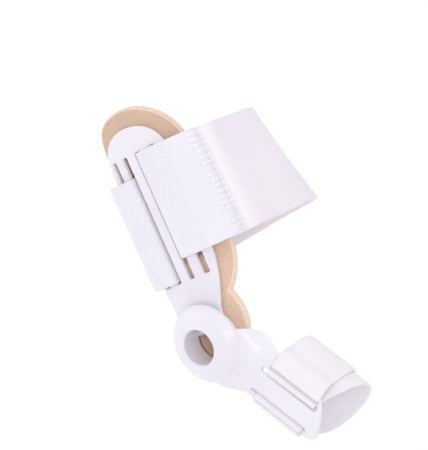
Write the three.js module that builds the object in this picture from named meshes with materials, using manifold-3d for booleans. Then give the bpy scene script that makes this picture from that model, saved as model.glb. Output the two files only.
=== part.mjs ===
// Bunion corrector: a hinged arch splint and toe splint, a foam pad, a foot strap and a toe strap.
// Millimetres. +X runs along the arch splint towards the toes, +Y into the foot, +Z towards the instep.
// The origin is on the inner face of the pad, where the foot bears on it.
import * as THREE from "three";
import Module from "manifold-3d";

const wasm = await Module();
wasm.setup();

// Gap kept between neighbouring pieces
const CLEARANCE = 0.3;

// Pad
const PAD_THICKNESS = 4.8;
const PAD_CURVE_RADIUS = 49;
const PAD_BEVEL = 0.8;
const PAD_REAR_MARGIN = 8.6;
const PAD_DORSAL_MARGIN = 9.2;
const PAD_PLANTAR_MARGIN = 5;
const PAD_LOBE_RADIUS = 21;
const PAD_LOBE_SETBACK = 7.6;
const PAD_LOBE_HALF_ANGLE = 118;
const PAD_WELL_FLOOR = 1.4;
const PAD_WAIST_EASE = 16;
const PAD_DORSAL_EASE = 24;
const PAD_PLANTAR_ROUNDING = 18;
const PAD_DORSAL_ROUNDING = 26;

// Arch splint: widths are measured along its curved face from the middle line of the curve
const PLATE_THICKNESS = 2.4;
const PLATE_BEVEL = 0.5;
const ARCH_LENGTH = 102.4;
const ARCH_DORSAL_WIDTH = 17;
const ARCH_PLANTAR_WIDTH = 20.2;
const ARCH_END_ROUNDING = 15;
const ARCH_NECK_LENGTH = 32;
const ARCH_NECK_REACH = 10;
const ARCH_NECK_EASE = 1.4;
const ARCH_SHOULDER = 8;
const ARCH_SHOULDER_DROP = 3.5;
const ARCH_CROWN_DROP = 1;

// Slots of the arch splint
const SLOT_LENGTH = 61.5;
const SLOT_WIDTH = 3.1;
const SLOT_PITCH = 8.5;
const SLOT_FRONT = 29;
const SLOT_EDGE_MARGIN = 3.25;
const SLOT_ROUNDING = 0.6;

// Hub
const HUB_FORWARD = 60;
const HUB_DROP = 3;
const HUB_RADIUS = 18.1;
const HUB_DOME_HEIGHT = 5.2;
const RING_RADIUS = 14.4;
const RING_SEAT = 4;
const RING_INSET = 2.5;
const RING_HEIGHT = 3.9;
const BORE_RADIUS = 8.2;
const BORE_ROUNDING = 0.6;
const TUBE_WALL = 1.7;
const SNAP_LIP = 0.8;
const SNAP_LIP_HEIGHT = 1.1;
const SNAP_LIP_CHAMFER = 0.6;
const SNAP_SLIT_WIDTH = 1.4;
const SNAP_SLIT_DEPTH = 4.1;
const SNAP_SLIT_ANGLE = 223;

// Toe splint: a channel for the big toe, turned towards the instep about the hub
const TOE_TURN = 32.4;
const TOE_LENGTH = 64;
const TOE_MIDDLE = 3.2;
const TOE_HALF_CHANNEL = 13.8;
const TOE_CHANNEL_RADIUS = 16;
const TOE_FORMED_AT = 28;
const TOE_INWARD_SLOPE = 0.1;
const TOE_ROOT_INSET = 3;
const TOE_NECK_END = 32;
const TOE_NECK_CREST = 9;
const TOE_TIP_ROUNDING = 18;
const TOE_TIP_RISE = 4;
const TOE_SLOT_REAR = 28.2;
const TOE_SLOT_LENGTH = 29.8;
const TOE_SLOT_WIDTH = 2.2;
const TOE_SLOT_ROUNDING = 0.8;
const TOE_SLOT_SPACING = 11.6;

// Foot strap
const FOOT_STRAP_WIDTH = 51;
const FOOT_STRAP_THICKNESS = 1.5;
const FOOT_STRAP_LAP = 25;
const FOOT_STRAP_SOLE_LAP = 36;
const FOOT_STRAP_DORSAL_START = -30;
const FOOT_STRAP_PLANTAR_START = -20.6;

// The foot that the strap goes round, at the strap's rear edge and at its front edge
const FOOT_REAR = { halfWidth: 33.5, halfHeight: 31, centreHeight: -4.5, squareness: 2.3 };
const FOOT_FRONT = { halfWidth: 45.5, halfHeight: 26, centreHeight: -3, squareness: 2.3 };

// Toe strap
const TOE_STRAP_WIDTH = 25.5;
const TOE_STRAP_THICKNESS = 1.2;
const TOE_STRAP_REAR = 31.3;
const TOE_STRAP_SET_BACK = 1.6;
const TOE_STRAP_SWING = 7.5;
const TOE_STRAP_LAP = 31;
const TOE_STRAP_TAB = 12;
const TOE_STRAP_LANDING = 7;

// The big toe that the toe strap goes round
const TOE_HALF_WIDTH = 17;
const TOE_HALF_HEIGHT = 14;

const radians = THREE.MathUtils.degToRad;
const lerp = THREE.MathUtils.lerp;

function smooth(value, start, end) {
  return THREE.MathUtils.smoothstep(value, start, end);
}

// Coordinates on a fine grid, so that corners that should meet are equal
const onGrid = (value) => Math.round(value * 1e4) / 1e4 + 0;

function steps(from, to, count) {
  return Array.from({ length: count + 1 }, (unused, i) => lerp(from, to, i / count));
}

// A solid from triangles of points, joined where points are the same
function solidOfTriangles(triangles) {
  const index = new Map();
  const corners = [];
  const faces = [];
  for (const triangle of triangles) {
    for (const point of triangle) {
      const key = point.join(" ");
      if (!index.has(key)) {
        index.set(key, corners.length / 3);
        corners.push(...point);
      }
      faces.push(index.get(key));
    }
  }
  return new wasm.Manifold(new wasm.Mesh({
    numProp: 3,
    vertProperties: new Float32Array(corners),
    triVerts: new Uint32Array(faces),
  }));
}

// The triangles of a geometry, with its coordinates on the grid
function trianglesOf(geometry) {
  const loose = geometry.index ? geometry.toNonIndexed() : geometry;
  const values = Array.from(loose.getAttribute("position").array, onGrid);
  const triangles = [];
  for (let i = 0; i < values.length; i += 9) {
    const triangle = [values.slice(i, i + 3), values.slice(i + 3, i + 6), values.slice(i + 6, i + 9)];
    const [a, b, c] = triangle.map((point) => point.join(" "));
    if (a !== b && b !== c && a !== c) {
      triangles.push(triangle);
    }
  }
  return triangles;
}

function solidOf(geometry) {
  return solidOfTriangles(trianglesOf(geometry));
}

function geometryOf(solid) {
  const mesh = solid.getMesh();
  const geometry = new THREE.BufferGeometry();
  geometry.setAttribute("position", new THREE.BufferAttribute(mesh.vertProperties.slice(), 3));
  geometry.setIndex(new THREE.BufferAttribute(mesh.triVerts.slice(), 1));
  return geometry.toNonIndexed();
}

// The point where an edge crosses a level, worked out the same way from either end
function crossing(p, q, axis, level) {
  const [low, high] = p[axis] < q[axis] ? [p, q] : [q, p];
  const share = (level - low[axis]) / (high[axis] - low[axis]);
  const point = low.map((value, i) => lerp(value, high[i], share));
  point[axis] = level;
  return point;
}

// Triangles cut along levels of one axis, so that the body can then be bent there
function sliced(triangles, axis, levels) {
  let parts = triangles;
  for (const level of levels.map(onGrid)) {
    const next = [];
    for (const triangle of parts) {
      const above = triangle.filter((p) => p[axis] > level).length;
      const below = triangle.filter((p) => p[axis] < level).length;
      if (!above || !below) {
        next.push(triangle);
        continue;
      }
      if (above + below === 2) {
        const first = triangle.findIndex((p) => p[axis] === level);
        const [on, p, q] = [0, 1, 2].map((i) => triangle[(first + i) % 3]);
        const middle = crossing(p, q, axis, level);
        next.push([on, p, middle], [on, middle, q]);
        continue;
      }
      const isAlone = (p) => (above === 1) === (p[axis] > level);
      const first = triangle.findIndex(isAlone);
      const [alone, p, q] = [0, 1, 2].map((i) => triangle[(first + i) % 3]);
      const nearP = crossing(alone, p, axis, level);
      const nearQ = crossing(alone, q, axis, level);
      next.push([alone, nearP, nearQ], [nearP, p, q], [nearP, q, nearQ]);
    }
    parts = next;
  }
  return parts;
}

// A flat outline with bevelled rims, raised between two layers, cut where it bends and carried to its place
function curvedSheet(outline, low, high, bevel, cuts, place) {
  const flat = new THREE.ExtrudeGeometry(outline, {
    depth: high - low - 2 * bevel,
    bevelEnabled: bevel > 0,
    bevelThickness: bevel,
    bevelSize: bevel,
    bevelOffset: -bevel,
    bevelSegments: 1,
    curveSegments: 6,
  });
  flat.translate(0, 0, low + bevel);
  let triangles = trianglesOf(flat);
  triangles = sliced(triangles, 0, cuts.along);
  triangles = sliced(triangles, 1, cuts.across);
  const placed = triangles.map((triangle) => triangle.map((p) => place(...p)));
  return solidOfTriangles(placed).simplify(MEND_WITHIN);
}

// Place on the arch: along X, across its curved face, and out from the pad's inner face
const ARCH_REFERENCE_RADIUS = PAD_CURVE_RADIUS + PAD_THICKNESS + CLEARANCE;

function archSection(across, out) {
  const angle = across / ARCH_REFERENCE_RADIUS;
  const radius = PAD_CURVE_RADIUS + out;
  return [PAD_CURVE_RADIUS - radius * Math.cos(angle), radius * Math.sin(angle)];
}

function archPlace(along, across, out) {
  return [along, ...archSection(across, out)];
}

const ARCH_CUTS = { along: [], across: steps(-35, 35, 14) };

// Layers of the arch, outwards from the pad's inner face
const PLATE_INNER = PAD_THICKNESS + CLEARANCE;
const PLATE_OUTER = PLATE_INNER + PLATE_THICKNESS;

function roundedSlot(start, across, length, width, round) {
  const slot = new THREE.Path();
  const end = start + length;
  const top = across + width / 2;
  const bottom = across - width / 2;
  slot.absarc(end - round, bottom + round, round, -Math.PI / 2, 0, false);
  slot.absarc(end - round, top - round, round, 0, Math.PI / 2, false);
  slot.absarc(start + round, top - round, round, Math.PI / 2, Math.PI, false);
  slot.absarc(start + round, bottom + round, round, Math.PI, 1.5 * Math.PI, false);
  return slot;
}

// Slots across the arch face, from the plantar edge up: each is named for the strap run that uses it
const LOWEST_SLOT = SLOT_EDGE_MARGIN + SLOT_WIDTH / 2 - ARCH_PLANTAR_WIDTH;
const SLOT_AT = {
  dorsalLower: LOWEST_SLOT + 3 * SLOT_PITCH,
  dorsalUpper: LOWEST_SLOT + 2 * SLOT_PITCH,
  plantarUpper: LOWEST_SLOT + SLOT_PITCH,
  plantarLower: LOWEST_SLOT,
};
const SLOT_START = HUB_FORWARD - SLOT_FRONT - SLOT_LENGTH;

function archOutline() {
  const rear = HUB_FORWARD - ARCH_LENGTH;
  const neck = HUB_FORWARD - ARCH_NECK_LENGTH;
  const seat = HUB_FORWARD - RING_SEAT;
  const ringTop = HUB_RADIUS * 0.66 - HUB_DROP;
  const ringBottom = RING_INSET - HUB_RADIUS - HUB_DROP;
  const round = ARCH_END_ROUNDING;
  const dorsal = ARCH_DORSAL_WIDTH;
  const plantar = ARCH_PLANTAR_WIDTH;
  const outline = new THREE.Shape();
  outline.moveTo(rear + round, -plantar);
  outline.lineTo(neck, -plantar);
  outline.bezierCurveTo(
    neck + ARCH_NECK_REACH, ARCH_NECK_EASE - plantar,
    seat - ARCH_SHOULDER, ringBottom,
    seat, ringBottom,
  );
  outline.lineTo(seat, ringTop - ARCH_NECK_EASE);
  outline.lineTo(HUB_FORWARD - HUB_RADIUS * 0.68, ringTop);
  outline.bezierCurveTo(
    neck + ARCH_NECK_REACH, dorsal - ARCH_SHOULDER_DROP,
    neck, dorsal,
    neck - ARCH_SHOULDER, dorsal,
  );
  outline.lineTo(rear + round, dorsal);
  outline.bezierCurveTo(
    rear + round * 0.4, dorsal - ARCH_CROWN_DROP,
    rear, dorsal * 0.55,
    rear, -ARCH_CROWN_DROP,
  );
  outline.bezierCurveTo(
    rear, -plantar * 0.62,
    rear + round * 0.45, -plantar,
    rear + round, -plantar,
  );
  for (const across of Object.values(SLOT_AT)) {
    outline.holes.push(roundedSlot(SLOT_START, across, SLOT_LENGTH, SLOT_WIDTH, SLOT_ROUNDING));
  }
  return outline;
}

// A turned body about the hub axis, from its profile in radius and outward distance
function turned(profile, segments) {
  const points = [...profile, profile[0]].map(([radius, out]) => new THREE.Vector2(radius, out));
  const body = new THREE.LatheGeometry(points, segments);
  // The lathe turns about Y, so it is turned over to face outwards along -Y.
  body.rotateX(Math.PI);
  body.translate(HUB_FORWARD, 0, -HUB_DROP);
  return solidOf(body);
}

const RING_FACE = PLATE_INNER + RING_HEIGHT;
const DISC_BASE = RING_FACE + CLEARANCE;
const DISC_FACE = DISC_BASE + PLATE_THICKNESS;
const DOME_FACE = DISC_FACE + HUB_DOME_HEIGHT;
const TUBE_RADIUS = BORE_RADIUS + TUBE_WALL;
const LIP_RADIUS = TUBE_RADIUS + SNAP_LIP;
const TUBE_FOOT = PLATE_INNER + CLEARANCE;
const LIP_TOP = TUBE_FOOT + SNAP_LIP_HEIGHT;
const HUB_SEGMENTS = 48;

// The dome's profile from its rim to the bore, in shares of its width and of its height
const DOME_PROFILE = [[0, -0.08], [0.09, 0.17], [0.28, 0.56], [0.535, 0.83], [0.8, 0.97]];

// A solid of the space inside the arch's curve up to a layer, long enough to trim the ring
function archCore(out) {
  const reach = 2 * RING_RADIUS;
  const section = new THREE.Shape();
  section.moveTo(-reach * 1.6, PAD_CURVE_RADIUS);
  for (const across of steps(-35, 35, 28)) {
    const [y, z] = archSection(across, out);
    section.lineTo(z, y);
  }
  section.lineTo(reach * 1.6, PAD_CURVE_RADIUS);
  const core = new THREE.ExtrudeGeometry(section, { depth: 2 * reach, bevelEnabled: false });
  // Drawn with the instep to the right, then stood up so that its length lies along X.
  core.rotateY(-Math.PI / 2);
  core.translate(HUB_FORWARD + reach, 0, 0);
  return solidOf(core);
}

function makeArchPlate() {
  const plate = curvedSheet(archOutline(), PLATE_INNER, PLATE_OUTER, PLATE_BEVEL, ARCH_CUTS, archPlace);
  const bore = TUBE_RADIUS + CLEARANCE;
  const ring = turned([
    [bore, 0],
    [RING_RADIUS, 0],
    [RING_RADIUS, RING_FACE - PLATE_BEVEL],
    [RING_RADIUS - PLATE_BEVEL, RING_FACE],
    [bore, RING_FACE],
  ], HUB_SEGMENTS);
  const boreCut = turned([[0, -5], [bore, -5], [bore, DOME_FACE], [0, DOME_FACE]], HUB_SEGMENTS);
  const lipRoom = LIP_RADIUS + CLEARANCE;
  const lipTop = LIP_TOP + CLEARANCE;
  const lipCut = turned([[0, -5], [lipRoom, -5], [lipRoom, lipTop], [0, lipTop]], HUB_SEGMENTS);
  return plate.add(ring.subtract(archCore(PLATE_INNER))).subtract(boreCut).subtract(lipCut);
}

// Section of the toe splint: inwards and sideways, from the distance across it and out from its inner face
function toeSection(across, out, formed) {
  if (formed === 0) {
    return [-out, across];
  }
  const radius = TOE_CHANNEL_RADIUS / formed;
  const roll = -TOE_MIDDLE / radius;
  const angle = roll + across / radius;
  return [
    radius * (Math.cos(roll) - Math.cos(angle)) - out * Math.cos(angle),
    radius * (Math.sin(angle) - Math.sin(roll)) + out * Math.sin(angle),
  ];
}

// A point of the toe splint's own frame: along it from the hub axis, inwards and sideways
function toeFrame(along, inward, sideways) {
  const turn = radians(TOE_TURN);
  const slope = TOE_INWARD_SLOPE * Math.max(along - HUB_RADIUS, 0);
  return [
    HUB_FORWARD + along * Math.cos(turn) - sideways * Math.sin(turn),
    -DISC_BASE + inward + slope,
    -HUB_DROP + along * Math.sin(turn) + sideways * Math.cos(turn),
  ];
}

function toePlace(along, across, out) {
  const reach = Math.hypot(Math.max(along, 0), across);
  const formed = smooth(reach, HUB_RADIUS, TOE_FORMED_AT);
  return toeFrame(along, ...toeSection(across, out, formed));
}

const TOE_CUTS = {
  along: steps(8, 30, 11),
  across: steps(-18, 18, 12),
};
// Waste that the cuts leave on flat stretches is joined again within this distance
const MEND_WITHIN = 0.02;

const TOE_UPPER_SLOT = TOE_MIDDLE + TOE_SLOT_SPACING / 2;
const TOE_LOWER_SLOT = TOE_MIDDLE - TOE_SLOT_SPACING / 2;
const TOE_DORSAL_EDGE = TOE_MIDDLE + TOE_HALF_CHANNEL;
const TOE_PLANTAR_EDGE = TOE_MIDDLE - TOE_HALF_CHANNEL;

function toeOutline() {
  const inHub = BORE_RADIUS + TOE_ROOT_INSET;
  const front = TOE_LENGTH;
  const top = TOE_DORSAL_EDGE;
  const bottom = TOE_PLANTAR_EDGE;
  const outline = new THREE.Shape();
  outline.moveTo(inHub, HUB_RADIUS * 0.5);
  outline.lineTo(inHub, -HUB_RADIUS * 0.55);
  outline.lineTo(HUB_RADIUS * 0.7, -HUB_RADIUS * 0.7);
  outline.bezierCurveTo(
    HUB_RADIUS, bottom - TOE_TIP_RISE / 3,
    TOE_NECK_END * 0.75, bottom,
    TOE_NECK_END, bottom,
  );
  outline.lineTo(front - TOE_TIP_ROUNDING, bottom);
  outline.bezierCurveTo(
    front - TOE_TIP_ROUNDING * 0.45, bottom,
    front, bottom + TOE_TIP_RISE,
    front, TOE_LOWER_SLOT,
  );
  outline.bezierCurveTo(
    front, TOE_UPPER_SLOT - TOE_TIP_RISE / 2,
    front - TOE_TIP_ROUNDING * 0.4, top,
    front - TOE_TIP_ROUNDING * 0.9, top,
  );
  outline.lineTo(TOE_NECK_END, top);
  outline.bezierCurveTo(
    TOE_NECK_END * 0.85, top,
    HUB_RADIUS * 1.1, top + TOE_NECK_CREST,
    HUB_RADIUS * 0.4, HUB_RADIUS * 0.86,
  );
  for (const across of [TOE_UPPER_SLOT, TOE_LOWER_SLOT]) {
    outline.holes.push(
      roundedSlot(TOE_SLOT_REAR, across, TOE_SLOT_LENGTH, TOE_SLOT_WIDTH, TOE_SLOT_ROUNDING),
    );
  }
  return outline;
}

function makeToePlate() {
  const splint = curvedSheet(toeOutline(), 0, PLATE_THICKNESS, PLATE_BEVEL, TOE_CUTS, toePlace);
  const hub = turned([
    [BORE_RADIUS, TUBE_FOOT],
    [LIP_RADIUS - SNAP_LIP_CHAMFER, TUBE_FOOT],
    [LIP_RADIUS, TUBE_FOOT + SNAP_LIP_CHAMFER],
    [LIP_RADIUS, LIP_TOP],
    [TUBE_RADIUS, LIP_TOP],
    [TUBE_RADIUS, DISC_BASE],
    [HUB_RADIUS - PLATE_BEVEL, DISC_BASE],
    [HUB_RADIUS, DISC_BASE + PLATE_BEVEL],
    ...DOME_PROFILE.map(([inset, rise]) => [
      HUB_RADIUS - inset * (HUB_RADIUS - BORE_RADIUS),
      DISC_FACE + rise * HUB_DOME_HEIGHT,
    ]),
    [BORE_RADIUS + BORE_ROUNDING, DOME_FACE],
    [BORE_RADIUS, DOME_FACE - BORE_ROUNDING],
  ], HUB_SEGMENTS);
  const slitLength = 3 * LIP_RADIUS;
  const slitHeight = DOME_FACE - SNAP_SLIT_DEPTH;
  const slit = new THREE.BoxGeometry(slitLength, slitHeight, SNAP_SLIT_WIDTH);
  slit.translate(0, -slitHeight / 2, 0);
  slit.rotateY(-radians(SNAP_SLIT_ANGLE));
  slit.translate(HUB_FORWARD, 0, -HUB_DROP);
  // The slits part the snap tube only, and end below the disc.
  const slitReach = (BORE_RADIUS + TUBE_RADIUS) / 2;
  const tubeZone = turned([
    [0, 0],
    [2 * LIP_RADIUS, 0],
    [2 * LIP_RADIUS, DISC_BASE],
    [slitReach, DISC_BASE],
    [slitReach, DOME_FACE],
    [0, DOME_FACE],
  ], HUB_SEGMENTS);
  return splint.add(hub).subtract(solidOf(slit).intersect(tubeZone));
}

const plastic = new THREE.MeshStandardMaterial({ color: 0xf1edf3, roughness: 0.42, metalness: 0 });
const foam = new THREE.MeshStandardMaterial({ color: 0xdcbda6, roughness: 0.95, metalness: 0 });
const webbing = new THREE.MeshStandardMaterial({ color: 0xf2eef8, roughness: 0.9, metalness: 0 });

// Pad: follows the arch splint with a margin, and ends in a round lobe with a well behind the hub's bore
function padOutline() {
  const rear = HUB_FORWARD - ARCH_LENGTH - PAD_REAR_MARGIN;
  const dorsal = ARCH_DORSAL_WIDTH + PAD_DORSAL_MARGIN;
  const plantar = ARCH_PLANTAR_WIDTH + PAD_PLANTAR_MARGIN;
  const lobe = HUB_FORWARD - PAD_LOBE_SETBACK;
  const halfAngle = radians(PAD_LOBE_HALF_ANGLE);
  const waist = lobe + PAD_LOBE_RADIUS * Math.cos(halfAngle);
  const outline = new THREE.Shape();
  outline.moveTo(rear + PAD_PLANTAR_ROUNDING, -plantar);
  outline.lineTo(waist - PAD_WAIST_EASE, -plantar);
  outline.bezierCurveTo(
    waist - PAD_WAIST_EASE / 2, -plantar,
    waist - PAD_WAIST_EASE / 4, -PAD_LOBE_RADIUS * 0.95,
    waist, -PAD_LOBE_RADIUS * 0.9 - HUB_DROP,
  );
  outline.absarc(lobe, -HUB_DROP, PAD_LOBE_RADIUS, -halfAngle, halfAngle, false);
  outline.bezierCurveTo(
    waist - PAD_DORSAL_EASE / 4, dorsal * 0.86,
    waist - PAD_DORSAL_EASE * 0.6, dorsal,
    waist - PAD_DORSAL_EASE, dorsal,
  );
  outline.lineTo(rear + PAD_DORSAL_ROUNDING, dorsal);
  outline.bezierCurveTo(
    rear + PAD_DORSAL_ROUNDING * 0.46, dorsal,
    rear, dorsal * 0.5,
    rear, -ARCH_CROWN_DROP,
  );
  outline.bezierCurveTo(
    rear, -plantar * 0.72,
    rear + PAD_PLANTAR_ROUNDING * 0.35, -plantar,
    rear + PAD_PLANTAR_ROUNDING, -plantar,
  );
  return outline;
}

// A block of the arch's curved space, between two places along it, two across it and two layers
function archBlock([start, end], [low, high], [inner, outer]) {
  const outline = new THREE.Shape();
  outline.moveTo(start, low);
  outline.lineTo(end, low);
  outline.lineTo(end, high);
  outline.lineTo(start, high);
  return curvedSheet(outline, inner, outer, 0, ARCH_CUTS, archPlace);
}

// Loops of strap round the two bars of the arch splint that carry the foot strap
const FOOT_STRAP_OFFSET = CLEARANCE + FOOT_STRAP_THICKNESS / 2;
const FOOT_STRAP_LEVEL = FOOT_STRAP_THICKNESS + CLEARANCE;
const DORSAL_BAR = {
  fold: SLOT_AT.dorsalUpper + SLOT_WIDTH / 2,
  lift: SLOT_AT.dorsalLower - SLOT_WIDTH / 2,
};
const PLANTAR_BAR = {
  fold: SLOT_AT.plantarUpper - SLOT_WIDTH / 2,
  lift: SLOT_AT.plantarLower + SLOT_WIDTH / 2,
};

function makePad() {
  const pad = curvedSheet(padOutline(), 0, PAD_THICKNESS, PAD_BEVEL, ARCH_CUTS, archPlace);
  const depth = PLATE_INNER - 2 * CLEARANCE - FOOT_STRAP_THICKNESS;
  const margin = CLEARANCE + FOOT_STRAP_OFFSET + FOOT_STRAP_THICKNESS / 2;
  const beds = [
    [DORSAL_BAR, FOOT_STRAP_DORSAL_START],
    [PLANTAR_BAR, FOOT_STRAP_PLANTAR_START],
  ].map(([bar, start]) => archBlock(
    [start - 2 * CLEARANCE, start + FOOT_STRAP_WIDTH + 2 * CLEARANCE],
    [Math.min(bar.fold, bar.lift) - margin, Math.max(bar.fold, bar.lift) + margin],
    [depth, PAD_THICKNESS + 1],
  ));
  const wellTop = 2 * PAD_THICKNESS;
  const well = turned([
    [0, PAD_WELL_FLOOR],
    [BORE_RADIUS, PAD_WELL_FLOOR],
    [BORE_RADIUS, wellTop],
    [0, wellTop],
  ], HUB_SEGMENTS);
  return [...beds, well].reduce((rest, cut) => rest.subtract(cut), pad);
}

// Part of a circle in a section, from one angle to another, in degrees
function arcPoints([x, y], radius, from, to, count) {
  return steps(from, to, count).map((angle) => [
    x + radius * Math.cos(radians(angle)),
    y + radius * Math.sin(radians(angle)),
  ]);
}

// The convex outline round a set of points, anticlockwise
function hullOf(points) {
  const sorted = [...points].sort((p, q) => p[0] - q[0] || p[1] - q[1]);
  const turn = (o, p, q) => (p[0] - o[0]) * (q[1] - o[1]) - (p[1] - o[1]) * (q[0] - o[0]);
  const chain = (list) => {
    const kept = [];
    for (const point of list) {
      while (kept.length > 1 && turn(kept.at(-2), kept.at(-1), point) <= 0) {
        kept.pop();
      }
      kept.push(point);
    }
    return kept.slice(0, -1);
  };
  return [...chain(sorted), ...chain(sorted.reverse())];
}

const span = (p, q) => Math.hypot(q[0] - p[0], q[1] - p[1]);

// The same polyline with evenly spaced points
function evenly(points, count) {
  const lengths = points.map((point, i) => (i ? span(points[i - 1], point) : 0));
  const total = lengths.reduce((sum, length) => sum + length, 0);
  const result = [];
  let i = 1;
  let passed = 0;
  for (const target of steps(0, total, count)) {
    while (i < points.length - 1 && passed + lengths[i] < target) {
      passed += lengths[i];
      i += 1;
    }
    const share = lengths[i] ? Math.min((target - passed) / lengths[i], 1) : 0;
    result.push([lerp(points[i - 1][0], points[i][0], share), lerp(points[i - 1][1], points[i][1], share)]);
  }
  return result;
}

// The index of the point nearest to a goal
function nearestTo(goal, points) {
  const distances = points.map((point) => span(point, goal));
  return distances.indexOf(Math.min(...distances));
}

// The run of a strap under tension: the outline round what it wraps, from near one point to near another
function tautRun(wrapped, gap, from, to, count) {
  const swollen = wrapped.flatMap((point) => arcPoints(point, gap, 0, 345, 23));
  const hull = hullOf(swollen).reverse();
  const start = nearestTo(from, hull);
  const ordered = [...hull.slice(start), ...hull.slice(0, start)];
  return evenly([from, ...ordered.slice(1, nearestTo(to, ordered)), to], count);
}

// Directions square to a polyline, on its left
function leftOf(points) {
  return points.map((point, i) => {
    const before = points[Math.max(i - 1, 0)];
    const after = points[Math.min(i + 1, points.length - 1)];
    const length = span(before, after) || 1;
    return [-(after[1] - before[1]) / length, (after[0] - before[0]) / length];
  });
}

// A polyline moved sideways by an amount for each point
function shifted(points, amount) {
  const sides = leftOf(points);
  return points.map(([x, y], i) => {
    const distance = amount(i);
    return [x + sides[i][0] * distance, y + sides[i][1] * distance];
  });
}

// A strap's bend about a point of a section, mirrored where the strap goes the other way
function bend(section, sign, offset, across, out, from, to, count) {
  return arcPoints([across * sign, out], offset, from, to, count)
    .map(([mirrored, layer]) => section(mirrored * sign, layer));
}

// The fold of a strap round a slot's edge, from its outer run to its run behind the plate
function slotFold(edge, sign, section, inner, outer, offset) {
  return [
    ...bend(section, sign, offset, edge, outer, 90, 180, 5),
    ...bend(section, sign, offset, edge, inner, 180, 270, 3),
  ];
}

// The loop of the foot strap round a bar of the arch splint, from its outer run to its lower run
function barLoop({ fold, lift }) {
  const sign = Math.sign(lift - fold);
  const offset = FOOT_STRAP_OFFSET;
  const next = lift + 2 * sign * offset;
  return [
    ...slotFold(fold, sign, archSection, PLATE_INNER, PLATE_OUTER, offset),
    ...bend(archSection, sign, offset, lift, PLATE_INNER, 270, 360, 3),
    ...bend(archSection, sign, offset, next, PLATE_OUTER, 180, 90, 3),
  ];
}

function footSection(foot) {
  const power = 2 / foot.squareness;
  return steps(0, 360, 90).slice(1).map((angle) => {
    const c = Math.cos(radians(angle));
    const s = Math.sin(radians(angle));
    return [
      foot.halfWidth * (1 + Math.sign(c) * Math.abs(c) ** power),
      foot.centreHeight + foot.halfHeight * Math.sign(s) * Math.abs(s) ** power,
    ];
  });
}

// One edge of the foot strap in section, from its end over the instep to its end under the sole
function footStrapEdge(foot) {
  const offset = FOOT_STRAP_OFFSET;
  const wrapped = [
    ...steps(-ARCH_PLANTAR_WIDTH, ARCH_DORSAL_WIDTH, 24)
      .map((across) => archSection(across, PLATE_OUTER)),
    ...steps(-ARCH_PLANTAR_WIDTH - PAD_PLANTAR_MARGIN, ARCH_DORSAL_WIDTH + PAD_DORSAL_MARGIN, 30)
      .map((across) => archSection(across, PAD_THICKNESS)),
    ...footSection(foot),
  ];
  const dorsalLoop = barLoop(DORSAL_BAR);
  const plantarLoop = barLoop(PLANTAR_BAR).reverse();
  const [from, to] = [dorsalLoop.at(-1), plantarLoop[0]];
  const run = tautRun(wrapped, offset + CLEARANCE, from, to, FOOT_STRAP_RUN_STEPS);
  const raised = shifted(run, () => FOOT_STRAP_LEVEL);
  return { dorsalLoop, plantarLoop, run, raised };
}

const FOOT_STRAP_RUN_STEPS = 100;

// The index of the last point within a length along a polyline
function indexAt(points, length) {
  let passed = 0;
  let i = 0;
  while (i < points.length - 2 && passed < length) {
    i += 1;
    passed += span(points[i - 1], points[i]);
  }
  return i;
}

function stationsOf(edge, lapSteps, soleSteps) {
  const overlap = edge.raised.slice(1, lapSteps + 1).reverse();
  const soleLap = edge.raised.slice(-soleSteps - 1, -1).reverse();
  return [...overlap, ...edge.dorsalLoop, ...edge.run.slice(1, -1), ...edge.plantarLoop, ...soleLap];
}

// A ribbon between a rear edge and a front edge, each a polyline, with thickness square to them
function ribbon(rear, front, thickness, place) {
  const layers = [-thickness / 2, thickness / 2].map((distance) => [rear, front].map((edge) => (
    shifted(edge.section, () => distance).map(([y, z], i) => place(edge.along[i], y, z))
  )));
  const [[innerRear, innerFront], [outerRear, outerFront]] = layers;
  const triangles = [];
  const quad = (a, b, c, d) => triangles.push([a, b, c], [a, c, d]);
  const last = rear.section.length - 1;
  for (let i = 0; i < last; i += 1) {
    quad(innerRear[i], innerFront[i], innerFront[i + 1], innerRear[i + 1]);
    quad(outerRear[i], outerRear[i + 1], outerFront[i + 1], outerFront[i]);
    quad(innerRear[i], innerRear[i + 1], outerRear[i + 1], outerRear[i]);
    quad(innerFront[i], outerFront[i], outerFront[i + 1], innerFront[i + 1]);
  }
  quad(innerRear[0], outerRear[0], outerFront[0], innerFront[0]);
  quad(innerRear[last], innerFront[last], outerFront[last], outerRear[last]);
  const solid = solidOfTriangles(triangles);
  return solid.volume() < 0 ? solidOfTriangles(triangles.map(([a, b, c]) => [a, c, b])) : solid;
}

function makeFootStrap() {
  const edges = [FOOT_REAR, FOOT_FRONT].map(footStrapEdge);
  const lapSteps = indexAt(edges[0].raised, FOOT_STRAP_LAP);
  const soleSteps = indexAt([...edges[0].raised].reverse(), FOOT_STRAP_SOLE_LAP);
  const [rear, front] = edges.map((edge) => stationsOf(edge, lapSteps, soleSteps));
  const runStart = lapSteps + edges[0].dorsalLoop.length;
  const runEnd = runStart + FOOT_STRAP_RUN_STEPS - 1;
  const alongRear = rear.map((unused, i) => lerp(
    FOOT_STRAP_DORSAL_START,
    FOOT_STRAP_PLANTAR_START,
    smooth(i, lerp(runStart, runEnd, 0.35), lerp(runStart, runEnd, 0.9)),
  ));
  const alongFront = alongRear.map((along) => along + FOOT_STRAP_WIDTH);
  return ribbon(
    { section: rear, along: alongRear },
    { section: front, along: alongFront },
    FOOT_STRAP_THICKNESS,
    (along, y, z) => [along, y, z],
  );
}

// The toe strap goes round the big toe, and through a slot at each side of the toe splint's channel
const TOE_STRAP_OFFSET = CLEARANCE + TOE_STRAP_THICKNESS / 2;
const TOE_STRAP_LEVEL = CLEARANCE + TOE_STRAP_THICKNESS;
const TOE_STRAP_DEPTH = TOE_STRAP_OFFSET + CLEARANCE;
const TOE_STRAP_RUN_STEPS = 56;

const channelSection = (across, out) => toeSection(across, out, 1);

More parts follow.
